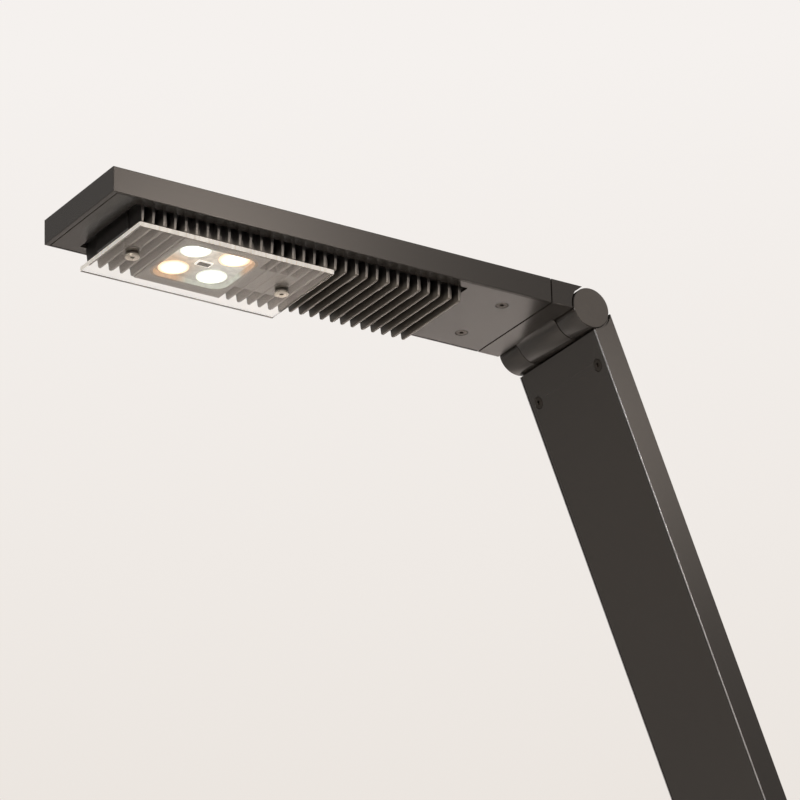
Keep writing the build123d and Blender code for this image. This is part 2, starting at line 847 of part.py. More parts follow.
def ballast_weight():
    """The cast-iron weight under the turret, cut clear of the posts, the nut and the inlet."""
    back_x = base_cavity_length / 2 - ballast_gap
    length = back_x - ballast_front_x
    width = base_cavity_width - 2 * ballast_gap
    body = Pos((back_x + ballast_front_x) / 2, 0, 0) * rounded_slab(
        length, width, ballast_corner, base_plate_top, ballast_top
    )
    post_room = post(base_post_radius + slide_fit, 0, base_height)
    body -= at_places(post_room, base_post_places())
    body -= Pos(shoulder_x, 0, 0) * post(ballast_bore, 0, base_height)
    notch_half = inlet_body_size / 2 + inlet_notch_gap
    notch_x = base_length / 2 - base_side_wall - inlet_body_length - inlet_notch_gap
    return body - box_between(
        notch_x, base_length / 2, inlet_y - notch_half, inlet_y + notch_half, 0, base_height
    )


def swivel_bush():
    """The flanged plastic bush that the spindle turns in."""
    body = post(bush_radius - fixed_fit, base_ceiling - overcut, base_height)
    body += post(bush_flange_radius, bush_flange_bottom, base_ceiling)
    body -= post(spindle_radius + running_fit, 0, base_height + overcut)
    return Pos(shoulder_x, 0, 0) * body


def swivel_glide_ring():
    """The plastic ring in the base's top that the turntable slides on."""
    bottom = base_height - glide_ring_groove
    inner = glide_ring_radius - glide_ring_width
    return Pos(shoulder_x, 0, 0) * ring(glide_ring_radius, inner, bottom, turntable_bottom - glide_gap)


# ------------------------------------------------------------------ controls and electronics
def button():
    """A round push button with a dished top, a retaining flange and a stem."""
    cap = post(button_radius, button_flange_bottom, base_height + button_proud)
    cap = fillet(cap.edges().sort_by(Axis.Z)[-1], button_dish_depth)
    dish_radius = (button_radius**2 + button_dish_depth**2) / (2 * button_dish_depth)
    dish_z = base_height + button_proud - button_dish_depth + dish_radius
    cap -= Pos(0, 0, dish_z) * Sphere(dish_radius)
    cap += post(button_radius + button_flange, button_flange_bottom, button_flange_top)
    return cap + post(button_stem_radius, button_stem_bottom, button_flange_bottom + overcut)


def control_board():
    half_x, half_y = control_board_length / 2, control_board_width / 2
    return Pos(button_x, 0, 0) * box_between(-half_x, half_x, -half_y, half_y, board_bottom, board_top)


def tactile_switches():
    half = switch_size / 2
    switch = box_between(-half, half, -half, half, board_top, board_top + switch_height)
    switch += post(switch_actuator_radius, board_top, switch_top)
    return at_places(switch, button_places)


def driver_board():
    """The LED driver with its coils and capacitors."""
    half_x, half_y = driver_board_length / 2, driver_board_width / 2
    body = box_between(-half_x, half_x, -half_y, half_y, board_bottom, board_top)
    coil = post(coil_radius, board_top - board_thickness / 2, board_top + coil_height)
    body += at_places(coil, [(half_x / 2, side * half_y / 2) for side in (-1, 1)])
    capacitor = Pos(0, 0, board_top + capacitor_height / 2) * Box(
        capacitor_size, capacitor_size, capacitor_height
    )
    body += at_places(capacitor, [(-half_x / 2, side * half_y / 2) for side in (-1, 0, 1)])
    return Pos(driver_board_x, 0, 0) * body


def dc_inlet():
    """The low-voltage socket in the base's back wall."""
    wall_x = base_length / 2 - base_side_wall
    half = inlet_body_size / 2
    body = box_between(wall_x - inlet_body_length, wall_x - slide_fit, -half, half, -half, half)
    sleeve_length = base_side_wall + inlet_body_length / 2
    sleeve_x = base_length / 2 - sleeve_length / 2
    body += Pos(sleeve_x, 0, 0) * Rot(0, 90, 0) * Cylinder(inlet_radius, sleeve_length)
    bore_x = base_length / 2 - inlet_depth / 2 + overcut / 2
    body -= Pos(bore_x, 0, 0) * Rot(0, 90, 0) * Cylinder(inlet_bore, inlet_depth + overcut)
    pin_x = base_length / 2 - inlet_depth + (inlet_pin_length - overcut) / 2
    body += Pos(pin_x, 0, 0) * Rot(0, 90, 0) * Cylinder(inlet_pin_radius, inlet_pin_length + overcut)
    return Pos(0, inlet_y, inlet_z) * body


def base_leads():
    """The flat leads from the inlet to the driver board, over the weight."""
    end_x = base_length / 2 - base_side_wall - inlet_body_length
    half = lead_width / 2
    top = ballast_top + lead_thickness
    return box_between(ballast_front_x, end_x, inlet_y - half, inlet_y + half, ballast_top, top)


# ------------------------------------------------------------------ the lamp, node by node
nodes = {
    "head_shell": in_head * head_shell(),
    "head_cover": in_head * head_cover(),
    "head_cover_screws": in_head * at_places(countersunk_screw(), cover_screw_places, inner_face),
    "heat_sink": in_head * heat_sink(),
    "led_board": in_head * led_board(),
    "cool_leds": in_head * led_packages(1),
    "warm_leds": in_head * led_packages(-1),
    "lens_array": in_head * lens_array(),
    "lens_clip": in_head * lens_clip(),
    "glare_plate": in_head * glare_plate(),
    "glare_plate_screws": in_head * glare_plate_screws(),
    "glare_plate_spacers": in_head * glare_plate_spacers(),
    "head_hinge_block": in_head * hinge_block(),
    "head_leads": in_head * head_leads(),
    "elbow_washers": in_head * friction_washers(),
    "elbow_fork": in_arm * elbow_fork(),
    "elbow_axle": in_arm * axle(),
    "elbow_nut": in_arm * axle_nut(),
    "elbow_end_caps": in_arm * end_caps(),
    "arm_shell": in_arm * arm_shell(),
    "arm_cover": in_arm * arm_cover(),
    "arm_cover_screws": in_arm * at_places(countersunk_screw(), arm_screw_places(), inner_face),
    "arm_leads": in_arm * arm_leads(),
    "arm_hinge_block": in_arm_foot * hinge_block(),
    "shoulder_washers": in_arm_foot * friction_washers(),
    "turret": at_shoulder * turret(),
    "shoulder_axle": at_shoulder * axle(),
    "shoulder_nut": at_shoulder * axle_nut(),
    "shoulder_end_caps": at_shoulder * end_caps(),
    "swivel_spindle": swivel_spindle(),
    "swivel_nut": swivel_nut(),
    "swivel_washer": swivel_washer(),
    "swivel_stop_pin": stop_pin(),
    "base_housing": base_housing(),
    "base_plate": base_plate(),
    "base_plate_screws": base_plate_screws(),
    "base_pad": base_pad(),
    "ballast_weight": ballast_weight(),
    "swivel_bush": swivel_bush(),
    "swivel_glide_ring": swivel_glide_ring(),
    "control_board": control_board(),
    "tactile_switches": tactile_switches(),
    "driver_board": driver_board(),
    "dc_inlet": dc_inlet(),
    "base_leads": base_leads(),
}
for name, (x, y) in zip(("warmth_button", "power_button", "brightness_button"), button_places):
    nodes[name] = Pos(x, y, 0) * button()

os.makedirs("parts", exist_ok=True)
for name, shape in nodes.items():
    export_step(shape, f"parts/{name}.step")
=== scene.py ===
"""Finishes, lenses, light, stage and camera for a table-top piano lamp.

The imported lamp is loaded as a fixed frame. Head and arm are bars of one section, and what sits on them
is built in a bar frame: millimetres, origin on the bar's hinge axis, +X along the bar away from that
hinge, and +Z towards the bar's closed outer face. The base's pieces are built in millimetres in the
lamp's own frame.
"""

from __future__ import annotations

import json
import logging
import math
from collections.abc import Sequence
from dataclasses import dataclass, field, replace
from enum import Enum
from itertools import pairwise
from typing import ClassVar

import bmesh
import bpy
from mathutils import Matrix, Vector

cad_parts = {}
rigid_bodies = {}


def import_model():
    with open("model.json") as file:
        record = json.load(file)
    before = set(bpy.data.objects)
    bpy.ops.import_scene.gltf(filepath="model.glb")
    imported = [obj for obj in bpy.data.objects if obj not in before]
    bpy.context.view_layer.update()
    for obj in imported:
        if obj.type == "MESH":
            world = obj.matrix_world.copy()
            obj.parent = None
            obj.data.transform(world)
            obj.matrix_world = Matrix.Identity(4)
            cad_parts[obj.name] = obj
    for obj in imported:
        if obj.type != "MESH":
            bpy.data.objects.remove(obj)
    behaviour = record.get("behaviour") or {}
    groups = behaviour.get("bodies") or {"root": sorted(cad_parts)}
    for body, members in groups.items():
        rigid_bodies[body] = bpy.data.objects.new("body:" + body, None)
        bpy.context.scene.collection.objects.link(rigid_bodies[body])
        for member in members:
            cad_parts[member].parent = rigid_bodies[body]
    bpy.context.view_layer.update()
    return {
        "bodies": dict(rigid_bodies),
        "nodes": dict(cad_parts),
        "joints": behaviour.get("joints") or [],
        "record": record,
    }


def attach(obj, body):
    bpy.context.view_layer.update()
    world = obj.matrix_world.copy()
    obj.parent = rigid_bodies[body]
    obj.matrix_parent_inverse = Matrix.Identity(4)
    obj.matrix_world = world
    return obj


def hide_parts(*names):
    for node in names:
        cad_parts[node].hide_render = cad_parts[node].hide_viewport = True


log = logging.getLogger("piano_lamp")

MM = 0.001
# How many edges a turned ring has.
RING_STEPS = 48
# Below this radius a ring would close on itself.
LEAST_RADIUS = 1e-3
# Where a rounded edge's middle ring stands: at this share of the edge's width from both faces.
ROUND = 0.3
ACRYLIC_IOR = 1.49
SMOOTH = "SMOOTHSTEP"
Socket = bpy.types.NodeSocket
Outputs = bpy.types.bpy_prop_collection
Colour = tuple[float, float, float, float]
Point = tuple[float, float, float]
Span = tuple[float, float]
Ring = list[Vector]


# ---------------- colour, nodes
def linear(code: str) -> Colour:
    """Turns an sRGB colour's six hex digits into the linear values that shaders take."""
    channels = [int(code[i : i + 2], 16) / 255 for i in (0, 2, 4)]
    lit = [c / 12.92 if c <= 0.04045 else ((c + 0.055) / 1.055) ** 2.4 for c in channels]
    return lit[0], lit[1], lit[2], 1.0


@dataclass
class Nodes:
    """A node tree, with short ways to add what finishes are made of."""

    tree: bpy.types.NodeTree

    def add(self, kind: str, inputs: dict | None = None, **settings: object) -> Outputs:
        """Adds a node, with its settings, values and links.

        Args:
            kind: The node's type, without the ShaderNode in front.
            inputs: Input name or number to a value, or to the output that feeds it.
            settings: The node's own properties.

        Returns:
            The node's outputs.
        """
        node = self.tree.nodes.new(f"ShaderNode{kind}")
        for name, value in settings.items():
            setattr(node, name, value)
        for key, value in (inputs or {}).items():
            if isinstance(value, Socket):
                self.tree.links.new(value, node.inputs[key])
            else:
                node.inputs[key].default_value = value
        return node.outputs

    def points(self) -> Socket:
        """Returns the surface's own coordinates, in metres in the lamp's frame."""
        return self.add("TexCoord")["Object"]

    def parts(self, way: Socket | None = None) -> Outputs:
        """Splits the surface's coordinates, or another vector, into X, Y and Z."""
        return self.add("SeparateXYZ", {0: self.points() if way is None else way})

    def noise(self, size_mm: float, detail: float = 2.0, stretch: Point | None = None) -> Socket:
        """Adds a noise whose features have a real size.

        Args:
            size_mm: About one feature's width.
            detail: How many finer layers it has.
            stretch: How much faster it changes along each axis.

        Returns:
            The noise's value, about 0.5 on average.
        """
        points = self.points()
        if stretch:
            points = self.add("Mapping", {"Vector": points, "Scale": stretch})[0]
        settings = {"Vector": points, "Scale": 1 / (size_mm * MM), "Detail": detail, "Roughness": 0.55}
        return self.add("TexNoise", settings)["Fac"]

    def maths(self, operation: str, *values: float | Socket) -> Socket:
        """Works out one operation on up to three numbers."""
        return self.add("Math", dict(enumerate(values)), operation=operation)[0]

    def ramp(self, value: Socket, ends: Span, to: Span = (0.0, 1.0), kind: str = "LINEAR") -> Socket:
        """Turns one range of a value into another.

        Args:
            value: The value.
            ends: The range's two ends.
            to: What they become.
            kind: How it runs between them.

        Returns:
            The new value, which stays between the new ends.
        """
        limits = {"Value": value, "From Min": ends[0], "From Max": ends[1], "To Min": to[0], "To Max": to[1]}
        return self.add("MapRange", limits, interpolation_type=kind)[0]

    def between(self, value: Socket, low: float, high: float) -> Socket:
        """Spreads the middle of a noise over the range from low to high."""
        return self.ramp(value, (0.3, 0.7), (low, high))

    def blend(self, share: Socket, first: str | Socket, second: str) -> Socket:
        """Mixes two colours by a changing share. The first may come from an output."""
        colour = linear(first) if isinstance(first, str) else first
        return self.add("Mix", {0: share, 6: colour, 7: linear(second)}, data_type="RGBA")[2]

    def bump(self, height: Socket, depth_mm: float) -> Socket:
        """Turns a height into a normal, with the relief's real depth."""
        return self.add("Bump", {"Height": height, "Strength": 1.0, "Distance": depth_mm * MM})[0]

    def skin(self, colour: Socket | Colour, roughness: Socket | float, more: dict) -> Socket:
        """Adds the shader of a solid surface, with its further inputs by name."""
        return self.add("BsdfPrincipled", {"Base Color": colour, "Roughness": roughness} | more)[0]

    def mix(self, share: Socket | float, first: Socket, second: Socket) -> Socket:
        """Mixes two shaders."""
        return self.add("MixShader", {0: share, 1: first, 2: second})[0]

    def seen(self, path: Outputs) -> Socket:
        """Returns 1 for the rays that the eye sees a surface by, also through the clear sheet."""
        return self.maths("MAXIMUM", path["Is Camera Ray"], path["Is Transmission Ray"])


# ---------------- finishes
@dataclass(frozen=True)
class Finish:
    """A surface finish, which makes one material."""

    made: ClassVar[dict[str, bpy.types.Material]] = {}
    name: str

    def material(self) -> bpy.types.Material:
        """Returns this finish's material, made on its first use."""
        if self.name not in self.made:
            material = bpy.data.materials.new(f"{self.name}_finish")
            material.use_nodes = True
            material.node_tree.nodes.clear()
            nodes = Nodes(material.node_tree)
            nodes.add("OutputMaterial", {"Surface": self.surface(nodes)})
            self.made[self.name] = material
        return self.made[self.name]

    def surface(self, nodes: Nodes) -> Socket:
        """Builds the shader and returns its output."""
        raise NotImplementedError


@dataclass(frozen=True)
class CoatedAluminium(Finish):
    """Aluminium blasted with fine grit and dark anodised or coated: a dense satin with slow tone changes."""

    light: str = "322e2a"
    dark: str = "2d2925"
    smooth: float = 0.23
    rough: float = 0.27
    # The oxide that anodising grows is a kind of corundum, denser to light than a paint.
    ior: float = 1.75
    # The blasted grain is about 0.05 mm, too fine to show, and is drawn at 0.9 mm.
    grain_mm: float = 0.9
    cloud_mm: float = 26.0
    # The largest share of the dark tone.
    cloudy: float = 0.45
    relief_mm: float = 0.004
    # Bars are linished lengthwise before coating: the hair lines spread a highlight across the bar only.
    anisotropy: float = 0.0
    along: Point = (1.0, 0.0, 0.0)

    def surface(self, nodes: Nodes) -> Socket:
        """Builds the coat: cloudy tone, grain in its relief and gloss."""
        grain, cloud = nodes.noise(self.grain_mm, 3.0), nodes.noise(self.cloud_mm, 3.0)
        share = nodes.between(nodes.maths("MULTIPLY_ADD", cloud, grain, grain), 0.0, self.cloudy)
        more = {"IOR": self.ior, "Normal": nodes.bump(grain, self.relief_mm)} | self.lay(nodes)
        return nodes.skin(self.tone(nodes, share), nodes.between(grain, self.smooth, self.rough), more)

    def tone(self, nodes: Nodes, share: Socket) -> Socket:
        """Returns the coat's colour by the cloudy share."""
        return nodes.blend(share, self.light, self.dark)

    def lay(self, nodes: Nodes) -> dict:
        """Returns the shader inputs for the direction of the hair lines under the coat."""
        if not self.anisotropy:
            return {}
        ways = {"vector_type": "VECTOR", "convert_from": "OBJECT", "convert_to": "WORLD"}
        along = nodes.add("VectorTransform", {0: self.along}, **ways)[0]
        return {"Tangent": along, "Anisotropic": self.anisotropy, "Anisotropic Rotation": 0.25}


@dataclass(frozen=True)
class PaintedShadeFinCoat(CoatedAluminium):
    """A coat on cast fins, with painted light and shade: its lighter tone at the tips, painted shade that
    turns it black deep in the gaps, and a painted black end wall.
    """

    black: str = "1a1817"
    # Where the painted black starts and where it is full: by height in the gaps as painted shade, and by
    # length at the end wall.
    painted_shade_z: Span = (0.0, 1.0)
    end_x: Span = (0.0, -1.0)

    def tone(self, nodes: Nodes, share: Socket) -> Socket:
        """Paints shade on the coat from the fins' tips to their roots, and paints the end wall dark."""
        parts = nodes.parts()
        gap_shade = nodes.ramp(parts["Z"], self.painted_shade_z, kind=SMOOTH)
        end = nodes.ramp(parts["X"], self.end_x, kind=SMOOTH)
        return nodes.blend(nodes.maths("MAXIMUM", gap_shade, end), super().tone(nodes, share), self.black)


@dataclass(frozen=True)
class RubbedEdge(Finish):
    """Aluminium where polishing has gone through the coat on an edge, with traces of coat left on it."""

    metal: str = "eef0f4"
    coat: str = "b6b6b8"
    smooth: float = 0.28
    rough: float = 0.38
    trace_mm: float = 5.0
    # The largest share of coat that is left.
    most_coat: float = 0.8

    def surface(self, nodes: Nodes) -> Socket:
        """Builds the bare metal and the traces of coat."""
        trace = nodes.noise(self.trace_mm, 4.0)
        tone = nodes.blend(nodes.between(trace, 0.0, self.most_coat), self.metal, self.coat)
        return nodes.skin(tone, nodes.between(trace, self.smooth, self.rough), {"Metallic": 1.0})


@dataclass(frozen=True)
class TurnedMetal(Finish):
    """Metal faced on a lathe: fine rings round the axis, which break up its gloss."""

    light: str = "c9c5bd"
    dark: str = "8f8a82"
    metallic: float = 1.0
    smooth: float = 0.22
    rough: float = 0.34
    # The tool leaves rings about 0.1 mm apart, drawn at 0.5 mm so that they show.
    ring_mm: float = 0.5
    ring_share: float = 0.35
    tarnish_mm: float = 3.0
    # The largest share of the dark tone.
    tarnish: float = 0.6
    centre: Point = (0.0, 0.0, 0.0)
    axis: str = "Z"
    relief_mm: float = 0.006

    def surface(self, nodes: Nodes) -> Socket:
        """Builds the rings round the axis and the tarnish over them."""
        shift = {"Vector": nodes.points(), "Location": [-c for c in self.centre]}
        waves = {"Vector": nodes.add("Mapping", shift)[0], "Distortion": 0.4, "Detail": 1.0}
        # The wave texture's scale is 20 pi times finer than its rings' spacing.
        waves["Scale"] = math.tau / (20 * self.ring_mm * MM)
        rings = nodes.add("TexWave", waves, wave_type="RINGS", rings_direction=self.axis)["Fac"]
        cloud = nodes.noise(self.tarnish_mm, 3.0)
        share = nodes.between(nodes.maths("MULTIPLY_ADD", rings, self.ring_share, cloud), 0.0, self.tarnish)
        more = {"Metallic": self.metallic, "Normal": nodes.bump(rings, self.relief_mm)}
        tone = nodes.blend(share, self.light, self.dark)
        return nodes.skin(tone, nodes.between(cloud, self.smooth, self.rough), more)


@dataclass(frozen=True)
class Moulded(Finish):
    """An even, dull grain: what a spark-eroded mould leaves on nylon, ABS or rubber, and sand on iron."""

    light: str = "26251f"
    dark: str = "1c1b19"
    smooth: float = 0.45
    rough: float = 0.6
    grain_mm: float = 0.8
    detail: float = 2.0
    relief_mm: float = 0.02
    ior: float = 1.53
    metallic: float = 0.0

    def surface(self, nodes: Nodes) -> Socket:
        """Builds the mould's grain and its slight change of tone."""
        grain = nodes.noise(self.grain_mm, self.detail)
        tone = nodes.blend(nodes.between(grain, 0, 1), self.light, self.dark)
        more = {"IOR": self.ior, "Metallic": self.metallic, "Normal": nodes.bump(grain, self.relief_mm)}
        return nodes.skin(tone, nodes.between(grain, self.smooth, self.rough), more)


@dataclass(frozen=True)
class CircuitBoard(Finish):
    """Glass-epoxy board under solder mask: the copper tracks stand a little proud and change its tone."""

    mask: str = "1d5a33"
    track: str = "2b7546"
    track_mm: float = 2.4
    # Beyond this distance from a cell's middle a track begins.
    track_edge: float = 0.42
    track_rise_mm: float = 0.03
    gloss: float = 0.35

    def surface(self, nodes: Nodes) -> Socket:
        """Builds blocky tracks under the mask."""
        settings = {"Vector": nodes.points(), "Scale": 1 / (self.track_mm * MM)}
        kind = {"distance": "CHEBYCHEV", "feature": "F1"}
        cells = nodes.add("TexVoronoi", settings, **kind)["Distance"]
        edge = nodes.maths("GREATER_THAN", cells, self.track_edge)
        more = {"IOR": 1.55, "Normal": nodes.bump(edge, self.track_rise_mm)}
        return nodes.skin(nodes.blend(edge, self.mask, self.track), self.gloss, more)


@dataclass(frozen=True)
class PolishedAcrylic(Finish):
    """Cast acrylic sheet with its factory polish: clear, with faint wiping haze and dust in its gloss."""

    smooth: float = 0.0
    rough: float = 0.012
    wipe_mm: float = 14.0

    def surface(self, nodes: Nodes) -> Socket:
        """Builds the clear sheet."""
        haze = nodes.noise(self.wipe_mm, 4.0, (1.0, 2.5, 1.0))
        # Painted warmth: the sheet's reflections are tinted warm.
        more = {"IOR": ACRYLIC_IOR, "Specular Tint": linear("ffe6c8"), "Transmission Weight": 1.0}
        return nodes.skin(linear("fefdfb"), nodes.between(haze, self.smooth, self.rough), more)


@dataclass(frozen=True)
class SawnAcrylic(Finish):
    """The sheet's sawn or scraped edge: frosted by saw marks across it, with a painted glow that stands in
    for the lenses' light leaving by it.
    """

    # Saw marks are about 0.2 mm apart, drawn at 1.1 mm so that they show.
    mark_mm: float = 1.1
    relief_mm: float = 0.05
    # Painted glow: it stands in for the lenses' light, which runs along the sheet and leaves by this edge.
    glow: float = 0.45
    pale: str = "f6f3ee"
    dull: str = "cfcac2"
    smooth: float = 0.35
    rough: float = 0.6
    clearness: float = 0.35

    def surface(self, nodes: Nodes) -> Socket:
        """Builds the frosted edge with its saw marks and its painted glow."""
        marks = nodes.noise(self.mark_mm, stretch=(1.0, 1.0, 0.15))
        more = {
            "IOR": ACRYLIC_IOR,
            "Transmission Weight": self.clearness,
            "Normal": nodes.bump(marks, self.relief_mm),
            "Emission Color": linear("fff8ee"),
            "Emission Strength": nodes.between(marks, self.glow, self.glow / 2),
        }
        tone = nodes.blend(nodes.between(marks, 0.0, 1.0), self.pale, self.dull)
        return nodes.skin(tone, nodes.between(marks, self.smooth, self.rough), more)


@dataclass(frozen=True)
class LitLens(Finish):
    """A moulded acrylic lens over a lit emitter: full in its middle, tinted and softer towards its rim."""

    core: str = "ffffff"
    rim: str = "fff6e8"
    core_strength: float = 2.4
    rim_strength: float = 0.7
    centre: Span = (0.0, 0.0)
    radius_mm: float = 0.0
    # The share of the radius that is fully lit.
    full: float = 0.62
    fleck_mm: float = 1.5
    fleck_share: float = 0.15
    gloss: float = 0.08
    # How early the look of the rim starts where it goes by the view.
    view_rim: float = 0.35

    def surface(self, nodes: Nodes) -> Socket:
        """Builds the glow under a polished skin."""
        flecks = nodes.noise(self.fleck_mm)
        share = nodes.maths("MULTIPLY_ADD", flecks, self.fleck_share, self.spread(nodes))
        more = {
            "IOR": ACRYLIC_IOR,
            "Emission Color": nodes.blend(share, self.core, self.rim),
            "Emission Strength": nodes.ramp(share, (0.0, 1.0), (self.core_strength, self.rim_strength)),
        }
        return nodes.skin(linear("f4f2ec"), self.gloss, more)

    def spread(self, nodes: Nodes) -> Socket:
        """Returns 0 where the light is full and 1 at the rim, or by the view where there is no radius."""
        if not self.radius_mm:
            return nodes.add("LayerWeight", {"Blend": self.view_rim})["Facing"]
        place, radius = nodes.parts(), self.radius_mm * MM
        flat = nodes.add("CombineXYZ", {"X": place["X"], "Y": place["Y"]})[0]
        away = nodes.add("VectorMath", {0: flat, 1: (*self.centre, 0.0)}, operation="DISTANCE")
        return nodes.ramp(away["Value"], (radius * self.full, radius), kind=SMOOTH)


@dataclass(frozen=True)
class PaintedGlowAcrylic(Finish):
    """Clear moulded acrylic round the lenses, with a painted glow in place of the lenses' light that it
    carries: warm on one diagonal, else cool.
    """

    warm: str
    cool: str
    dim: float
    bright: float
    body: str = "6b665e"
    gloss: float = 0.22
    # How far past the diagonals' crossing the cool light is full, in shares of the warm light's reach.
    cool_reach: float = 0.4
    # How much of the painted glow is left at the head's far side.
    far_dim: float = 1.0
    # How far the diagonals' crossing is moved across the head, in millimetres.
    tip_warmth: float = 0.0
    centre: Span = (0.0, 0.0)
    pitch_mm: float = 26.6
    flow_mm: float = 4.0

    def surface(self, nodes: Nodes) -> Socket:
        """Builds the painted glow, which follows the lenses' diagonals, with the moulding's flow marks in it.
        """
        place, pitch = nodes.parts(), self.pitch_mm * MM
        x, y = (nodes.maths("SUBTRACT", place[axis], self.centre[i]) for i, axis in enumerate("XY"))
        diagonal = nodes.maths("MULTIPLY", x, nodes.maths("ADD", y, self.tip_warmth * MM))
        reach = (pitch / 2) ** 2
        share = nodes.ramp(diagonal, (-reach, reach * self.cool_reach), kind=SMOOTH)
        fade = nodes.ramp(y, (-pitch, pitch), (1.0, self.far_dim))
        level = nodes.between(nodes.noise(self.flow_mm, 3.0), self.dim, self.bright)
        more = {
            "IOR": ACRYLIC_IOR,
            "Emission Color": nodes.blend(share, self.warm, self.cool),
            "Emission Strength": nodes.maths("MULTIPLY", level, fade),
        }
        return nodes.skin(linear(self.body), self.gloss, more)


@dataclass(frozen=True)
class FloorSheet(Finish):
    """A pale studio floor, seen from above only, so that a low camera looks past it."""

    pale: str = "f1ede9"
    dark: str = "efebe7"
    cloud_mm: float = 400.0
    # How much of what the eye sees is the sheet's own paleness, and how much the light and shadow on it.
    own: float = 0.58
    lit: float = 0.4
    # Rays this short come from the pad, whose underside is then lit as if the floor were clear.
    contact_mm: float = 3.0

    def surface(self, nodes: Nodes) -> Socket:
        """Builds the floor's matt top and its open underside."""
        colour = nodes.blend(nodes.between(nodes.noise(self.cloud_mm), 0, 1), self.pale, self.dark)
        matt = nodes.add("BsdfDiffuse", {"Color": colour})[0]
        own = nodes.add("Emission", {"Color": colour, "Strength": self.own})[0]
        empty = nodes.add("Emission", {"Strength": 0.0})[0]
        pale = nodes.add("AddShader", {0: nodes.mix(self.lit, empty, matt), 1: own})[0]
        path = nodes.add("LightPath")
        top = nodes.mix(nodes.seen(path), matt, pale)
        touching = nodes.maths("LESS_THAN", path["Ray Length"], self.contact_mm * MM)
        back = nodes.add("NewGeometry")["Backfacing"]
        clear = nodes.add("BsdfTransparent")[0]
        return nodes.mix(nodes.maths("MAXIMUM", back, touching), top, clear)


# Sheet and extrusion, linished along the head and along the arm. A little of Y keeps the direction clear of
# the end faces' own.
HEAD_COAT = CoatedAluminium("dark_anodised_head", anisotropy=0.73, along=(-1.0, 0.06, 0.0))
ARM_COAT = CoatedAluminium("dark_anodised_arm", anisotropy=0.73, along=(0.3567, 0.06, -0.9342))
# Castings keep a little of the mould's unevenness under the same coat.
CAST_COAT = CoatedAluminium("dark_cast_aluminium", relief_mm=0.008, grain_mm=1.3, smooth=0.34, rough=0.44)
# The cooler's coat is thinner and duller than the bars'. Its tone is painted lighter than theirs, as painted
# light that brightens the fins beyond what the lamps give them.
COOLER_COAT_PAINTED_LIGHT_AND_SHADE = PaintedShadeFinCoat("black_cast_aluminium", "7a756e", "6e6962", 0.3, 0.4, grain_mm=1.0, relief_mm=0.006)
BARE_EDGE = RubbedEdge("rubbed_aluminium_edge")
BLACK_STEEL = TurnedMetal("black_steel", light="615c56", dark="484440", smooth=0.28, rough=0.4)
BRIGHT_STEEL = TurnedMetal("bright_steel")
SCREW_FACE = TurnedMetal("turned_screw_head", light="ebe5da", dark="b9b2a6")
# Coated after turning, so the rings lie under the coat.
DISC_COAT = TurnedMetal("turned_disc", "5c5854", "4e4b48", 0.0, 0.3, 0.4, axis="Y", relief_mm=0.004)
NYLON = Moulded("black_nylon")
RUBBER = Moulded("dark_rubber", "242322", "191817", 0.75, 0.9, relief_mm=0.05, ior=1.52)
GREY_NYLON = Moulded("grey_nylon", "77726b", "686259")
INSULATION = Moulded("lead_insulation", "2a2a2a", "202020", ior=1.5)
BUTTON_PLASTIC = Moulded("button_plastic", "3b3835", "322f2d", 0.35, 0.5, relief_mm=0.01)
PRINT_INK = Moulded("pale_print", "c9c6c0", "bdbab4", 0.5, 0.6, relief_mm=0.005)
# Grey iron as cast in sand: coarse, dark and dull, with rust starting in its pits.
IRON = Moulded("raw_cast_iron", "56524d", "3a302a", 0.55, 0.8, 1.6, 4.0, 0.15, ior=1.5, metallic=0.7)
WHITE_BOARD = CircuitBoard("white_circuit_board", mask="e9e8e3", track="dddcd6")
GREEN_BOARD = CircuitBoard("green_circuit_board")
CLEAR_ACRYLIC = PolishedAcrylic("clear_acrylic")
ACRYLIC_EDGE_PAINTED_GLOW = SawnAcrylic("sawn_acrylic_edge")
SCRAPED_EDGE = SawnAcrylic("scraped_acrylic_edge", glow=0.0, pale="8d8882", dull="77726c")
COOL_LENS = LitLens("cool_lit_lens", core="ffffff", rim="e4efe2", core_strength=1.9, rim_strength=0.75)
WARM_LENS = LitLens("warm_lit_lens", core="fff8ea", rim="ffd8a6", core_strength=1.6, rim_strength=0.75)
# The clip's frame carries a painted glow, though it gives no light of its own.
CLIP_PAINTED_GLOW = LitLens("lit_clip_frame", core="fffdf8", rim="efe8dc", core_strength=0.85, rim_strength=0.5)
COOL_EMITTER = LitLens("cool_white_light")
WARM_EMITTER = LitLens("warm_white_light", core="ffd9a0", rim="ffc070")
# The lenses' moulding, with painted glow in place of the lenses' light in it: its plate close to the
# emitters, its skirt on the pocket's wall, and its lip outside.
LENS_PLATE = PaintedGlowAcrylic("lit_lens_plate", "ffd2a4", "e6e3d9", 0.6, 1.05, far_dim=0.35, tip_warmth=5.0)
LENS_SKIRT = PaintedGlowAcrylic("lit_lens_skirt", "dca678", "cdd4c6", 0.4, 0.75)
LENS_LIP = PaintedGlowAcrylic("lit_lens_lip", "b9926f", "a8ada0", 0.16, 0.3)


# ---------------- mesh building
def rounded_ring(size: Span, corner: float, z: float, steps: int) -> Ring:
    """Returns a rectangle with round corners as a ring in the XY plane.

    Args:
        size: Its size along X and along Y.
        corner: The corners' radius.
        z: The ring's height.
        steps: How many edges a corner has.

    Returns:
        The ring's points, anticlockwise seen from +Z.
    """
    corner = max(corner, LEAST_RADIUS)
    points = []
    for a, b, start in ((1, 1, 0), (-1, 1, 90), (-1, -1, 180), (1, -1, 270)):
        for step in range(steps + 1):
            angle = math.radians(start + 90 * step / steps)
            x = a * (size[0] / 2 - corner) + corner * math.cos(angle)
            y = b * (size[1] / 2 - corner) + corner * math.sin(angle)
            points.append(Vector((x, y, z)))
    return points


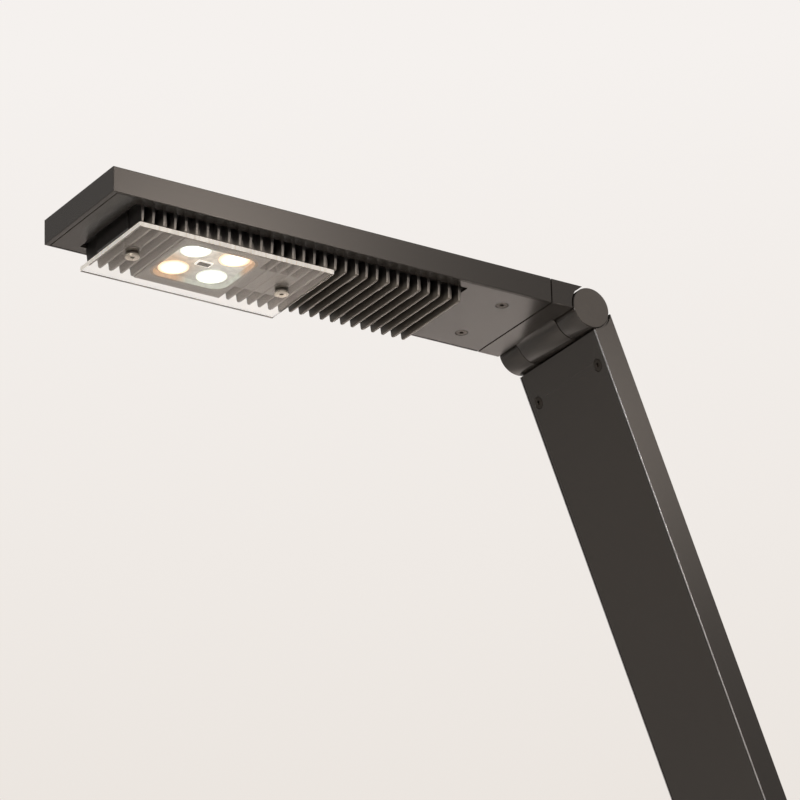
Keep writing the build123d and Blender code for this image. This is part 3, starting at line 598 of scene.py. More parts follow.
def circle_ring(radius: float, z: float) -> Ring:
    """Returns a circle round Z as a ring of points."""
    turn = math.tau / RING_STEPS
    return [Vector((radius * math.cos(i * turn), radius * math.sin(i * turn), z)) for i in range(RING_STEPS)]


def hexagon_ring(width: float, z: float) -> Ring:
    """Returns a hexagon round Z, with as many points as a circle so that the two can be joined."""
    points = []
    for i in range(RING_STEPS):
        angle = math.tau * i / RING_STEPS
        radius = width / 2 / math.cos(angle % (math.pi / 3) - math.pi / 6)
        points.append(Vector((radius * math.cos(angle), radius * math.sin(angle), z)))
    return points


def moved(ring: Ring, x: float, y: float) -> Ring:
    """Returns a ring shifted in its plane."""
    return [point + Vector((x, y, 0)) for point in ring]


def inset_rings(low: Vector, high: Vector, corner: float, rows: Sequence[Span], steps: int) -> list[Ring]:
    """Returns outlines of a box with round corners.

    Args:
        low: The box's lowest corner.
        high: Its highest corner.
        corner: The radius of its upright corners.
        rows: (inset, height) of each outline.
        steps: How many edges a corner has.

    Returns:
        One ring for each row.
    """
    size, middle = high - low, (low + high) / 2
    outlines = [rounded_ring((size.x - 2 * i, size.y - 2 * i), corner - i, z, steps) for i, z in rows]
    return [moved(outline, middle.x, middle.y) for outline in outlines]


@dataclass
class Shape:
    """Collects skins in a local frame in millimetres, and turns them into one Blender object."""

    name: str
    mesh: bmesh.types.BMesh = field(default_factory=bmesh.new)
    # Faces that meet at less than this shade as one surface.
    sharp_degrees: float = 32.0

    def skin(self, rings: Sequence[Ring], first: bool = True, last: bool = True, finish: int = 0) -> None:
        """Joins closed rings of equal length with a skin.

        Args:
            rings: The rings in order.
            first: Whether the first ring is closed with a face.
            last: Whether the last ring is closed with a face.
            finish: The number of the material on this skin.
        """
        rows = [[self.mesh.verts.new(point) for point in ring] for ring in rings]
        made = []
        for near, far in pairwise(rows):
            for i, corner in enumerate(near):
                j = (i + 1) % len(near)
                made.append(self.mesh.faces.new((corner, near[j], far[j], far[i])))
        if first:
            made.append(self.mesh.faces.new(list(reversed(rows[0]))))
        if last:
            made.append(self.mesh.faces.new(rows[-1]))
        for face in made:
            face.material_index = finish

    def block(self, low: Vector, high: Vector, edge: float, corner: float = 0.0, finish: int = 0) -> None:
        """Adds a box with softened edges.

        Args:
            low: Its lowest corner.
            high: Its highest corner.
            edge: The width of its softened edges.
            corner: The radius of its upright corners, where that is larger.
            finish: The number of its material.
        """
        part = edge * ROUND
        rows = [(edge, low.z), (part, low.z + part), (0, low.z + edge)]
        rows += [(0, high.z - edge), (part, high.z - part), (edge, high.z)]
        self.skin(inset_rings(low, high, max(corner, edge), rows, steps=3), finish=finish)

    def stack(self, rows: Sequence[tuple], x: float = 0.0, y: float = 0.0) -> None:
        """Adds a solid from (ring's function, size, height) rows, round an upright axis at x and y."""
        self.skin([moved(ring(size, z), x, y) for ring, size, z in rows])

    def turned(self, profile: Sequence[Span], x: float = 0.0, y: float = 0.0) -> None:
        """Adds a solid of revolution from (radius, height) rows, round an upright axis at x and y."""
        self.stack([(circle_ring, max(radius, LEAST_RADIUS), z) for radius, z in profile], x, y)

    def place(self, frame: Matrix, finishes: Sequence[Finish], body: str, slot: str, *nodes: str) -> None:
        """Makes the object in the lamp's frame and hands it to its body.

        Args:
            frame: From the local frame in millimetres to the lamp's frame in metres.
            finishes: The finishes by number.
            body: The CAD body that it rides on.
            slot: The record's material slot. It is not used.
            nodes: The CAD nodes that it stands for.
        """
        self.mesh.transform(frame)
        bmesh.ops.recalc_face_normals(self.mesh, faces=self.mesh.faces)
        data = bpy.data.meshes.new(self.name)
        self.mesh.to_mesh(data)
        self.mesh.free()
        data.shade_smooth()
        data.set_sharp_from_angle(angle=math.radians(self.sharp_degrees))
        for finish in finishes:
            data.materials.append(finish.material())
        made = bpy.data.objects.new(self.name, data)
        bpy.context.scene.collection.objects.link(made)
        # Flat faces keep their own direction beside softened edges.
        made.modifiers.new("weighted_normals", "WEIGHTED_NORMAL").keep_sharp = True
        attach(made, body)
        if nodes:
            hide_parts(*nodes)
        log.info("%s: %d faces on body %s", self.name, len(data.polygons), body)


def soften(piece: bpy.types.Object, width_mm: float) -> None:
    """Rounds a CAD node's sharp edges by a width, as its coat and handling do."""
    # A CAD node's faces come apart, and only joined faces have an edge to round.
    piece.modifiers.new("joined_faces", "WELD").merge_threshold = 0.002 * MM
    rounding = piece.modifiers.new("softened_edges", "BEVEL")
    rounding.width = width_mm * MM
    rounding.segments = 2
    rounding.limit_method = "ANGLE"
    rounding.angle_limit = math.radians(40)
    rounding.harden_normals = True


def dress(nodes: str, finish: Finish, soft_mm: float = 0.0) -> None:
    """Gives CAD nodes their finish.

    Args:
        nodes: The nodes' names, with spaces between them.
        finish: Their finish.
        soft_mm: The width of their softened edges, or 0 for none.
    """
    for node in nodes.split():
        piece = bpy.data.objects[node]
        if not piece.material_slots:
            piece.data.materials.append(None)
        for slot in piece.material_slots:
            slot.material = finish.material()
        if soft_mm:
            soften(piece, soft_mm)
        log.info("%s: dressed in %s", node, finish.name)


# ---------------- places
@dataclass
class Places:
    """Where the lamp's frames stand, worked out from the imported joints."""

    joints: list[dict]
    elbow: Vector = field(init=False)
    shoulder: Vector = field(init=False)

    def __post_init__(self) -> None:
        """Reads the two tilt joints."""
        at = {joint["name"]: Vector(joint["pos_m"]) for joint in self.joints if "pos_m" in joint}
        self.elbow, self.shoulder = at["elbow_tilt"], at["shoulder_tilt"]

    def bar(self, turn: float, axis: str) -> Matrix:
        """Returns a frame in millimetres at the elbow, turned round an axis."""
        return Matrix.Translation(self.elbow) @ Matrix.Rotation(turn, 4, axis) @ Matrix.Scale(MM, 4)

    def head(self) -> Matrix:
        """Returns the head's bar frame."""
        return self.bar(math.pi, "Z")

    def arm(self) -> Matrix:
        """Returns the arm's bar frame."""
        along = self.shoulder - self.elbow
        return self.bar(math.atan2(-along.z, along.x), "Y")

    def arm_length(self) -> float:
        """Returns the distance between the two hinge axes in millimetres."""
        return (self.shoulder - self.elbow).length / MM


def local_box(node: str, frame: Matrix) -> tuple[Vector, Vector]:
    """Measures a CAD node in a local frame.

    Args:
        node: The node's name.
        frame: The local frame.

    Returns:
        Its lowest and highest corner there.
    """
    back = frame.inverted()
    points = [back @ vertex.co for vertex in bpy.data.objects[node].data.vertices]
    low, high = (Vector([end(point[i] for point in points) for i in range(3)]) for end in (min, max))
    return low, high


# ---------------- cooler
@dataclass
class Cooler:
    """The die-cast cooler under the head: plate, tapered fins, block with the light's pocket, bosses."""

    frame: Matrix
    fin_count: int = 31
    fin_pitch: float = 7.45
    fin_root: float = 2.3
    fin_tip: float = 1.6
    fin_corner: float = 1.0
    fin_round: float = 0.42
    end_round: float = 0.1
    end_draft: float = 0.6
    plate_thickness: float = 3.0
    # How far the plate reaches past the fins, over the cover's opening.
    side_lap: float = 4.2
    end_lap: float = 4.0
    far_gap: float = 4.0
    near_gap: float = 4.8
    plate_edge: float = 0.3
    # How far a casting's part reaches into the plate behind it, or into the block beside it.
    overlap: float = 1.0
    ejector_every: int = 3
    ejector_length: float = 14.6
    ejector_thickness: float = 1.3
    ejector_setback: float = 0.8
    ejector_edge: float = 0.35
    end_rib_length: float = 37.0
    block_from_end: float = 32.4
    block_length: float = 59.9
    block_setback: float = 4.2
    block_edge: float = 0.5
    # Length, width and corner radius.
    pocket: Point = (52.0, 47.0, 9.0)
    pocket_lip: float = 0.6
    pocket_ledge: float = 2.0
    ledge_depth: float = 4.8
    well_depth: float = 9.0
    boss_radius: float = 5.5
    boss_edge: float = 0.4
    pad_width: float = 29.0
    pad_margin: float = 4.1
    pad_corner: float = 1.5
    pad_edge: float = 0.4
    pillar_radius: float = 6.0
    pillar_end_inset: float = 22.0
    pillar_side_inset: float = 10.5
    # How far behind the fins' tips the painted shade is full black, and how far before the last fin's outer
    # face the painted black of the end wall starts and is full.
    painted_shade_depth: float = 6.5
    black_wall: Span = (1.2, 0.5)
    tip_z: float = field(init=False)
    top_z: float = field(init=False)
    root_z: float = field(init=False)
    half: float = field(init=False)
    far_x: float = field(init=False)
    near_x: float = field(init=False)

    def __post_init__(self) -> None:
        """Finds the cooler's limits from its CAD node."""
        low, high = local_box("heat_sink", self.frame)
        self.tip_z, self.top_z = low.z, high.z
        self.half = high.y - self.side_lap
        self.far_x = high.x - self.end_lap - self.far_gap
        self.near_x = self.far_x - (self.fin_count - 1) * self.fin_pitch - self.fin_root
        self.root_z = local_box("head_cover", self.frame)[1].z

    def thickness(self, z: float) -> float:
        """Returns a fin's thickness at a height."""
        share = (z - self.tip_z) / (self.root_z - self.tip_z)
        return self.fin_tip + share * (self.fin_root - self.fin_tip)

    def fin_ring(self, x: float, across: float, inset: float, start: float) -> Ring:
        """Returns a fin's outline at one place in its thickness.

        Args:
            x: The fin's middle.
            across: From -1 on one side to 1 on the other.
            inset: How far the outline is drawn in.
            start: Where the fin starts across the head.

        Returns:
            The outline's points.
        """
        middle, half = (self.half + start) / 2, (self.half - start) / 2 - inset * self.end_round
        bottom, corner, steps = self.tip_z + inset, self.fin_corner, 6
        flat = [(-half, self.root_z + self.overlap), (-half, (self.tip_z + self.root_z) / 2)]
        for step in range(steps + 1):
            angle = math.radians(180 + 90 * step / steps)
            y = -half + self.end_draft + corner + corner * math.cos(angle)
            flat.append((y, bottom + corner + corner * math.sin(angle)))
        flat += [(-y, z) for y, z in reversed(flat)]
        return [Vector((x + across * self.thickness(z) / 2, middle + y, z)) for y, z in flat]

    def block_ends(self) -> Span:
        """Returns the near and the far end of the light's block."""
        far = self.far_x - self.block_from_end
        return far - self.block_length, far

    def over_block(self, x: float) -> bool:
        """Tells whether a fin at this place would cross the light's block."""
        near, far = self.block_ends()
        return near < x < far

    def fin(self, shape: Shape, x: float) -> None:
        """Adds a tapered fin with a round tip and soft ends, or its short end beside the light's block."""
        start = self.half - self.block_setback - self.overlap if self.over_block(x) else -self.half
        side, steps = self.fin_tip / 2, 4
        turns = [math.radians(90 * step / steps) for step in range(steps + 1)]
        ways = [(1 - math.cos(turn), 1 - math.sin(turn)) for turn in turns]
        rim = [((side - self.fin_round * out) / side, self.fin_round * down) for out, down in ways]
        rows = [(-across, inset) for across, inset in rim] + rim[::-1]
        shape.skin([self.fin_ring(x, across, inset, start) for across, inset in rows])

    def ejector_pads(self, shape: Shape, x: float) -> None:
        """Adds the thicker ends that a fin has where it is pushed out of its mould."""
        face_x = x - self.fin_tip / 2 - self.ejector_thickness
        for side in (-1, 1):
            ends = sorted(side * (self.half - inset) for inset in (self.ejector_length, self.ejector_setback))
            low = Vector((face_x, ends[0], self.tip_z + self.ejector_setback))
            shape.block(low, Vector((x, ends[1], self.root_z + self.overlap)), self.ejector_edge)

    def light_block(self, shape: Shape) -> None:
        """Adds the block with its stepped pocket, as one skin from the outside into the well."""
        near, far = self.block_ends()
        edge, lip, tip = self.block_edge, self.pocket_lip, self.tip_z
        length, width, corner = self.pocket
        ledge_z = tip + self.ledge_depth
        block = (far - near, 2 * self.half - self.block_setback, edge)
        inner = (length, width, corner - self.pocket_ledge)
        # Each ring is an outline, what is added to its length and width, what to its corner, and its height.
        rows = [
            (block, 0, 0, self.root_z + self.overlap),
            (block, 0, 0, tip + edge),
            (block, -edge * 2 * ROUND, 0, tip + edge * ROUND),
            (block, -edge * 2, 0, tip),
            (self.pocket, 2 * lip, lip, tip),
            (self.pocket, lip * 2 * ROUND, lip * ROUND, tip + lip * ROUND),
            (self.pocket, 0, 0, tip + lip),
            (self.pocket, 0, 0, ledge_z),
            (inner, -2 * self.pocket_ledge, 0, ledge_z),
            (inner, -2 * self.pocket_ledge, 0, tip + self.well_depth),
        ]
        rings = []
        for outline, more, round_more, z in rows:
            size, corner = (outline[0] + more, outline[1] + more), outline[2] + round_more
            ring = rounded_ring(size, corner, z, steps=8)
            # The block stands off the middle, because its near side is set back.
            rings.append(moved(ring, (far + near) / 2, -self.block_setback / 2 if outline is block else 0))
        shape.skin(rings, first=False)

    def build(self) -> None:
        """Builds the cooler in place of its CAD node."""
        shape = Shape("finned_cooler")
        side = self.half + self.side_lap
        low = Vector((self.near_x - self.near_gap - self.end_lap, -side, self.root_z))
        high = Vector((self.far_x + self.far_gap + self.end_lap, side, self.root_z + self.plate_thickness))
        shape.block(low, high, self.plate_edge)
        for count in range(self.fin_count):
            x = self.far_x - self.fin_root / 2 - count * self.fin_pitch
            self.fin(shape, x)
            if (count + 1) % self.ejector_every == 0 and not self.over_block(x):
                self.ejector_pads(shape, x)
        self.light_block(shape)
        self.bosses(shape)
        # The coat's painted shade in the gaps and its painted dark end wall, placed in the lamp's frame.
        gap_shade = [(self.frame @ Vector((0, 0, self.tip_z + depth))).z for depth in (0, self.painted_shade_depth)]
        wall = [(self.frame @ Vector((self.far_x - depth, 0, 0))).x for depth in self.black_wall]
        coat = replace(COOLER_COAT_PAINTED_LIGHT_AND_SHADE, painted_shade_z=tuple(gap_shade), end_x=tuple(wall))
        shape.place(self.frame, [coat], "head", "black_cast_aluminium", "heat_sink")

    def bosses(self, shape: Shape) -> None:
        """Adds the end rib, the screws' boss and pad, and the pillars that reach the shell."""
        back, half = self.root_z + self.overlap, self.end_rib_length / 2
        low = Vector((self.far_x - self.fin_root, -half, self.tip_z + self.ejector_setback))
        shape.block(low, Vector((self.far_x + self.ejector_thickness, half, back)), self.ejector_edge)
        plate_low, plate_high = local_box("glare_plate", self.frame)
        boss = [(self.boss_radius, self.root_z), (self.boss_radius, self.tip_z + self.boss_edge)]
        boss.append((self.boss_radius - self.boss_edge, self.tip_z))
        shape.turned(boss, plate_high.x - GlarePlate.screw_inset)
        near, half = plate_low.x + GlarePlate.screw_inset - self.pad_margin, self.pad_width / 2
        low = Vector((near, -half, self.tip_z + self.pad_edge))
        high = Vector((self.block_ends()[0] + self.overlap, half, back))
        shape.block(low, high, self.pad_edge, self.pad_corner)
        pillar = [(self.pillar_radius, self.root_z), (self.pillar_radius, self.top_z)]
        for x in (self.near_x + self.pillar_end_inset, self.far_x - self.pillar_end_inset):
            for side in (-1, 1):
                shape.turned(pillar, x, side * (self.half - self.pillar_side_inset))


# ---------------- light source
@dataclass
class LightSource:
    """Four domed lenses in one plate, warm and cool by diagonals, with a clip between them."""

    frame: Matrix
    pitch: float = 26.6
    # From the CAD plate's lowest point up to the face that the domes stand on.
    face_depth: float = 2.0
    plate_thickness: float = 2.0
    plate_edge: float = 0.3
    dome_radius: float = 9.5
    dome_rise: float = 1.9
    dome_foot: float = 0.2
    dome_steps: int = 10
    rim_width: float = 0.7
    rim_rise: float = 0.35
    groove: float = 0.1
    # The clip: length, width, height, edge and corner radius of its frame and of its dark inset.
    clip_frame: tuple[float, ...] = (10.6, 6.6, 0.7, 0.3, 0.8)
    clip_inset: tuple[float, ...] = (8.0, 4.0, 1.15, 0.25, 0.5)
    corner: float = 8.7
    skirt_drop: float = 2.8
    skirt_wall: float = 0.5
    skirt_round: float = 0.4
    skirt_draft: float = 0.2
    # How far the skirt reaches behind the face.
    skirt_foot: float = 0.5
    lip_width: float = 1.8
    lip_thickness: float = 0.15
    low: Vector = field(init=False)
    high: Vector = field(init=False)
    centre: Vector = field(init=False)
    face_z: float = field(init=False)

    def __post_init__(self) -> None:
        """Finds the lens plate's limits."""
        self.low, self.high = local_box("lens_array", self.frame)
        self.centre = (self.low + self.high) / 2
        self.face_z = self.low.z + self.face_depth

    def dome_profile(self) -> list[Span]:
        """Returns a lens's profile: a raised rim, a groove and the dome."""
        outer, inner, rim = self.dome_radius, self.dome_radius - self.rim_width, self.face_z - self.rim_rise
        profile = [(outer, self.face_z + self.dome_foot), (outer, rim), (inner, rim)]
        radius = inner - self.groove
        sphere = (radius**2 + self.dome_rise**2) / (2 * self.dome_rise)
        for step in range(self.dome_steps + 1):
            r = radius * (1 - step / self.dome_steps)
            profile.append((r, self.face_z - self.dome_rise + sphere - math.sqrt(sphere**2 - r**2)))
        return profile

    def build_mould(self, place: Span) -> None:
        """Builds the moulding, with painted glow: the lens plate, and the skirt that lines the pocket's wall
        and ends in a lip.

        Args:
            place: The middle of the light, in the lamp's frame.
        """
        kinds = [replace(finish, centre=place) for finish in (LENS_PLATE, LENS_SKIRT, LENS_LIP)]
        plate = Shape("lens_plate")
        low = Vector((*self.low.xy, self.face_z))
        high = Vector((*self.high.xy, self.face_z + self.plate_thickness))
        plate.block(low, high, self.plate_edge, self.corner)
        plate.place(self.frame, kinds[:1], "head", "lens_acrylic", "lens_array")
        mouth, lip, wall = self.face_z - self.skirt_drop, self.lip_width, self.skirt_wall
        edge = mouth - self.lip_thickness
        outside = [(-lip, mouth), (-lip + self.lip_thickness, edge), (0, edge)]
        inside = [(0, edge), (wall / 2, mouth), (wall, mouth + self.skirt_round)]
        inside.append((wall + self.skirt_draft, self.face_z + self.skirt_foot))
        skirt = Shape("lens_skirt")
        for finish, rows in ((1, outside), (0, inside)):
            rings = inset_rings(self.low, self.high, self.corner, rows, steps=10)
            skirt.skin(rings, first=False, last=False, finish=finish)
        skirt.place(self.frame, kinds[1:], "head", "lens_acrylic")

    def build(self) -> None:
        """Builds the moulding, the lenses and the clip in place of their CAD nodes."""
        middle = self.frame @ self.centre
        self.build_mould((middle.x, middle.y))
        half = self.pitch / 2
        for number, (a, b) in enumerate(((-1, -1), (-1, 1), (1, -1), (1, 1)), start=1):
            kind = COOL_LENS if a == b else WARM_LENS
            lens, x, y = Shape(f"lens_{number}"), self.centre.x + a * half, b * half
            lens.turned(self.dome_profile(), x, y)
            at = self.frame @ Vector((x, y, 0))
            name = f"{kind.name}_{number}"
            finish = replace(kind, name=name, centre=(at.x, at.y), radius_mm=self.dome_radius)
            lens.place(self.frame, [finish], "head", "lens_acrylic")
        clip = Shape("lens_clip_frame")
        middle = Vector((self.centre.x, 0, self.face_z))
        for finish, (length, width, height, edge, corner) in enumerate((self.clip_frame, self.clip_inset)):
            reach = Vector((length / 2, width / 2, 0))
            clip.block(middle - reach - Vector((0, 0, height)), middle + reach, edge, corner, finish)
        # The frame takes the painted glow, and the inset plain nylon.
        clip.place(self.frame, [CLIP_PAINTED_GLOW, NYLON], "head", "black_nylon", "lens_clip")


# ---------------- glare plate
@dataclass
class GlarePlate:
    """The clear sheet under the lenses, with two flat round-headed screws, their washers and spacers."""

    frame: Matrix
    screw_inset: float = 15.5
    corner: float = 0.8
    polish: float = 0.25
    scraped: float = 0.9
    # How much of a face's normal lies along X or Y on a rim, and along Z on the two flat sides.
    rim_normal: float = 0.6
    flat_normal: float = 0.9
    head_radius: float = 4.6
    head_height: float = 2.2
    head_thickness: float = 1.25
    head_round: float = 0.3
    head_edge: float = 0.2
    shank_radius: float = 1.9
    shank_length: float = 10.0
    # The dimple's radius round the hexagon socket, the socket's width across its flats and its depth.
    socket: Point = (2.1, 2.5, 1.4)
    washer_radius: float = 4.0
    spacer_radius: float = 4.0
    spacer_bore: float = 2.2
    spacer_height: float = 2.0
    spacer_edge: float = 0.3
    beam_power: float = 0.6
    beam_size: float = 0.045
    beam_drop: float = 0.4
    beam_reach: float = 100.0
    low: Vector = field(init=False)
    high: Vector = field(init=False)

    def __post_init__(self) -> None:
        """Finds the plate's limits."""
        self.low, self.high = local_box("glare_plate", self.frame)

    def build_plate(self) -> None:
        """Builds the sheet with polished faces and a frosted rim."""
        shape = Shape("clear_glare_plate")
        size, middle = self.high - self.low, (self.low + self.high) / 2
        low_z, high_z, chamfer = self.low.z, self.high.z, self.polish * 0.6
        rows = [(chamfer, low_z), (0.0, low_z + chamfer), (0.0, low_z + self.scraped)]
        rows += [(0.0, high_z - self.polish), (self.polish, high_z)]
        rings = [rounded_ring((size.x - 2 * i, size.y - 2 * i), self.corner, z, steps=4) for i, z in rows]
        shape.skin([moved(ring, middle.x, middle.y) for ring in rings])
        # The two edges towards the head's tip and side are left sawn. The other two are polished, and only
        # their lowest part is scraped.
        for face in shape.mesh.faces:
            face.normal_update()
            sawn = max(face.normal.x, face.normal.y) > self.rim_normal
            low = face.calc_center_median().z < low_z + self.scraped
            scraped = low and abs(face.normal.z) < self.flat_normal
            face.material_index = 1 if sawn else 2 if scraped else 0
        # The sawn edges carry a painted glow.
        finishes = [CLEAR_ACRYLIC, ACRYLIC_EDGE_PAINTED_GLOW, SCRAPED_EDGE]
        shape.place(self.frame, finishes, "head", "clear_acrylic", "glare_plate")

    def screw(self, shape: Shape, x: float) -> None:
        """Adds a low round head with a hexagon socket, and its shank up to the cooler."""
        face, outer = self.low.z - self.head_height, self.head_radius
        rim, edge = self.head_round, self.head_edge
        base, (dimple, socket, depth) = face + self.head_thickness, self.socket
        # The shank, the head with its rounded rims, the dimple and the socket.
        rows = [
            (circle_ring, self.shank_radius, self.high.z + self.shank_length),
            (circle_ring, self.shank_radius, base),
            (circle_ring, outer - edge, base),
            (circle_ring, outer, base - edge),
            (circle_ring, outer, face + rim),
            (circle_ring, outer - rim / 3, face + rim / 3),
            (circle_ring, outer - rim, face),
            (circle_ring, dimple, face),
            (hexagon_ring, socket + rim, face),
            (hexagon_ring, socket, face + edge),
            (hexagon_ring, socket, face + depth),
        ]
        shape.stack(rows, x)

    def spacer(self, shape: Shape, x: float) -> None:
        """Adds the spacer behind the sheet and the washer under the screw's head."""
        outer, inner, edge = self.spacer_radius, self.spacer_bore, self.spacer_edge
        foot, top = self.high.z, self.high.z + self.spacer_height
        profile = [(inner, foot), (outer - edge, foot), (outer, foot + edge)]
        shape.turned(profile + [(outer, top - edge), (outer - edge, top), (inner, top)], x)
        seat = self.low.z - self.head_height + self.head_thickness
        shape.turned([(self.washer_radius, self.low.z), (self.washer_radius, seat)], x)

    def beam(self) -> None:
        """Lets the lenses' light out below the sheet, because a renderer's clear sheet would hold it back."""
        x = LightSource(self.frame).centre.x
        drops = (self.beam_drop, self.beam_reach)
        at, aim = (self.frame @ Vector((x, 0, self.low.z - drop)) for drop in drops)
        lamp = Softbox("lens_beam", tuple(at), tuple(aim), self.beam_size, self.beam_power, "fff6ea").build()
        # The lenses are what the eye sees of it.
        lamp.visible_camera = lamp.visible_glossy = lamp.visible_transmission = False
        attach(lamp, "head")

    def build(self) -> None:
        """Builds the plate, its screws and its spacers in place of their CAD nodes."""
        self.build_plate()
        self.beam()
        for number, x in enumerate((self.low.x + self.screw_inset, self.high.x - self.screw_inset), start=1):
            centre = tuple(self.frame @ Vector((x, 0, 0)))
            face = replace(SCREW_FACE, name=f"{SCREW_FACE.name}_{number}", centre=centre)
            screw = ("screw", self.screw, face, "bright_steel")
            for kind, add, finish, slot in (screw, ("spacer", self.spacer, GREY_NYLON, "black_nylon")):
                shape = Shape(f"glare_plate_{kind}_{number}")
                add(shape, x)
                # One CAD node holds both pieces of a kind.
                nodes = [f"glare_plate_{kind}s"] if number == 1 else []
                shape.place(self.frame, [finish], "head", slot, *nodes)


# ---------------- bars
@dataclass
class CountersunkScrews:
    """Black socket screws whose flat heads sit a hair below the surface."""

    body: str
    frame: Matrix
    places: list[Span]
    face_z: float
    head_radius: float = 3.75
    sunk: float = 0.12
    shank_radius: float = 2.0
    shank_end: float = 11.5
    cone_end: float = 2.1
    rim_depth: float = 0.35
    rim_round: float = 0.08
    rim_width: float = 0.3
    # How much wider the socket is at its mouth, and how deep that widening goes.
    mouth: Span = (0.25, 0.18)
    # The dimple's radius round the hexagon socket, the socket's width across its flats and its depth.
    socket: Point = (1.75, 2.5, 1.5)

    def build(self) -> None:
        """Builds the screws in place of their CAD node."""
        shape = Shape(f"{self.body}_socket_screws")
        top, outer = self.face_z + self.sunk, self.head_radius
        dimple, socket, depth = self.socket
        # The shank, the cone with its worn rim, the dimple and the socket.
        rows = [
            (circle_ring, self.shank_radius, top + self.shank_end),
            (circle_ring, self.shank_radius, top + self.cone_end),
            (circle_ring, outer, top + self.rim_depth),
            (circle_ring, outer - self.rim_round, top + self.rim_round),
            (circle_ring, outer - self.rim_width, top),
            (circle_ring, dimple, top),
            (hexagon_ring, socket + self.mouth[0], top),
            (hexagon_ring, socket, top + self.mouth[1]),
            (hexagon_ring, socket, top + depth),
        ]
        for x, y in self.places:
            shape.stack(rows, x, y)
        shape.place(self.frame, [BLACK_STEEL], self.body, "black_steel", f"{self.body}_cover_screws")


@dataclass
class Bars:
    """Head and arm: shells, covers, hinge castings and the screws that hold them together."""

    places: Places
    edge_mm: float = 0.25
    rim_mm: float = 1.1
    # A face that looks more along the bar, or less out of it, isn't rubbed.
    rub_along: float = 0.1
    rub_out: float = 0.25
    # Where the screws sit along and across a bar: through its cover, and through the arm's fork.
    cover_screw: Span = (54.0, 22.7)
    fork_screw: Span = (34.6, 32.5)

    def build(self) -> None:
        """Dresses the bars and builds their screws."""
        dress("head_shell head_cover head_hinge_block", HEAD_COAT, self.edge_mm)
        dress("arm_shell arm_cover arm_hinge_block elbow_fork", ARM_COAT, self.edge_mm)
        self.rub_edges("arm_shell", self.places.arm())
        for joint, centre in (("elbow", self.places.elbow), ("shoulder", self.places.shoulder)):
            node = f"{joint}_end_caps"
            dress(node, replace(DISC_COAT, name=f"turned_{node}", centre=tuple(centre)))
        head, arm = self.places.head(), self.places.arm()
        face = local_box("head_cover", head)[0].z
        pair, fork = ([(x, -y), (x, y)] for x, y in (self.cover_screw, self.fork_screw))
        CountersunkScrews("head", head, pair, face).build()
        foot = [(self.places.arm_length() - x, y) for x, y in pair]
        CountersunkScrews("arm", arm, fork + foot, face).build()

    def rub_edges(self, node: str, frame: Matrix) -> None:
        """Gives a shell's two long rims beside its cover the look of bare metal, with their rounded corners.

        Args:
            node: The shell's name.
            frame: The bar's frame.
        """
        mesh = bpy.data.objects[node].data
        mesh.materials.append(BARE_EDGE.material())
        low, high = local_box(node, frame)
        back, turn = frame.inverted(), frame.to_3x3().inverted()
        for face in mesh.polygons:
            normal, middle = (turn @ face.normal).normalized(), back @ face.center
            on_rim = middle.z < low.z + self.rim_mm and abs(middle.y) > high.y - self.rim_mm
            if on_rim and abs(normal.x) < self.rub_along and normal.z < -self.rub_out:
                face.material_index = len(mesh.materials) - 1


# ---------------- base
class Mark(Enum):
    """What each button does, by the first word of its node's name."""

    WARMTH = "warmth"
    POWER = "power"
    BRIGHTNESS = "brightness"


# Each sign's arcs: inner and outer radius, and first and last angle in degrees from straight up. They make a
# half-lit disc, an open ring for a bar, and a sun.
MARK_ARCS: dict[Mark, list[tuple[float, ...]]] = {
    Mark.WARMTH: [(1.95, 2.4, 0, 358), (0.1, 1.7, -90, 90)],
    Mark.POWER: [(1.95, 2.4, 38, 322)],
    Mark.BRIGHTNESS: [(0.1, 1.2, 0, 358)] + [(1.8, 2.7, turn - 6, turn + 6) for turn in range(0, 360, 45)],
}


@dataclass
class ButtonMark:
    """The pale sign printed in one button's dished top, upright for someone in front of the lamp."""

    frame: Matrix
    mark: Mark
    ink: float = 0.05
    # The bar of the sign for power: its first and last distance from the middle, its width and its rise.
    bar: tuple[float, ...] = (0.7, 3.0, 0.45, 0.09)
    dish_depth: float = 0.5
    dish_radius: float = 49.25
    arc_step: float = 8.0

    def arc(self, shape: Shape, centre: Vector, inner: float, outer: float, start: float, end: float) -> None:
        """Adds a flat arc that follows the dish.

        Args:
            shape: The shape that it joins.
            centre: The dish's lowest point.
            inner: Its inner radius.
            outer: Its outer radius.
            start: Its first angle, in degrees from straight up.
            end: Its last angle.
        """
        steps = max(2, round((end - start) / self.arc_step))
        flat = [(inner, -self.ink), (outer, -self.ink), (outer, self.ink), (inner, self.ink)]
        corners = [(r, r * r / (2 * self.dish_radius) + lift) for r, lift in flat]
        rows = []
        for step in range(steps + 1):
            angle = math.radians(start + (end - start) * step / steps)
            way = Vector((math.cos(angle), math.sin(angle), 0))
            rows.append([centre + way * r + Vector((0, 0, up)) for r, up in corners])
        shape.skin(rows)

    def build(self) -> None:
        """Prints the sign."""
        low, high = local_box(f"{self.mark.value}_button", self.frame)
        middle = (low + high) / 2
        centre = Vector((middle.x, middle.y, high.z - self.dish_depth))
        shape = Shape(f"{self.mark.value}_mark")
        for arc in MARK_ARCS[self.mark]:
            self.arc(shape, centre, *arc)
        if self.mark is Mark.POWER:
            start, end, width, rise = self.bar
            low = centre + Vector((start, -width / 2, -self.ink))
            shape.block(low, centre + Vector((end, width / 2, rise + self.ink)), 0.02)
        shape.place(self.frame, [PRINT_INK], f"{self.mark.value}_button", "button_plastic")


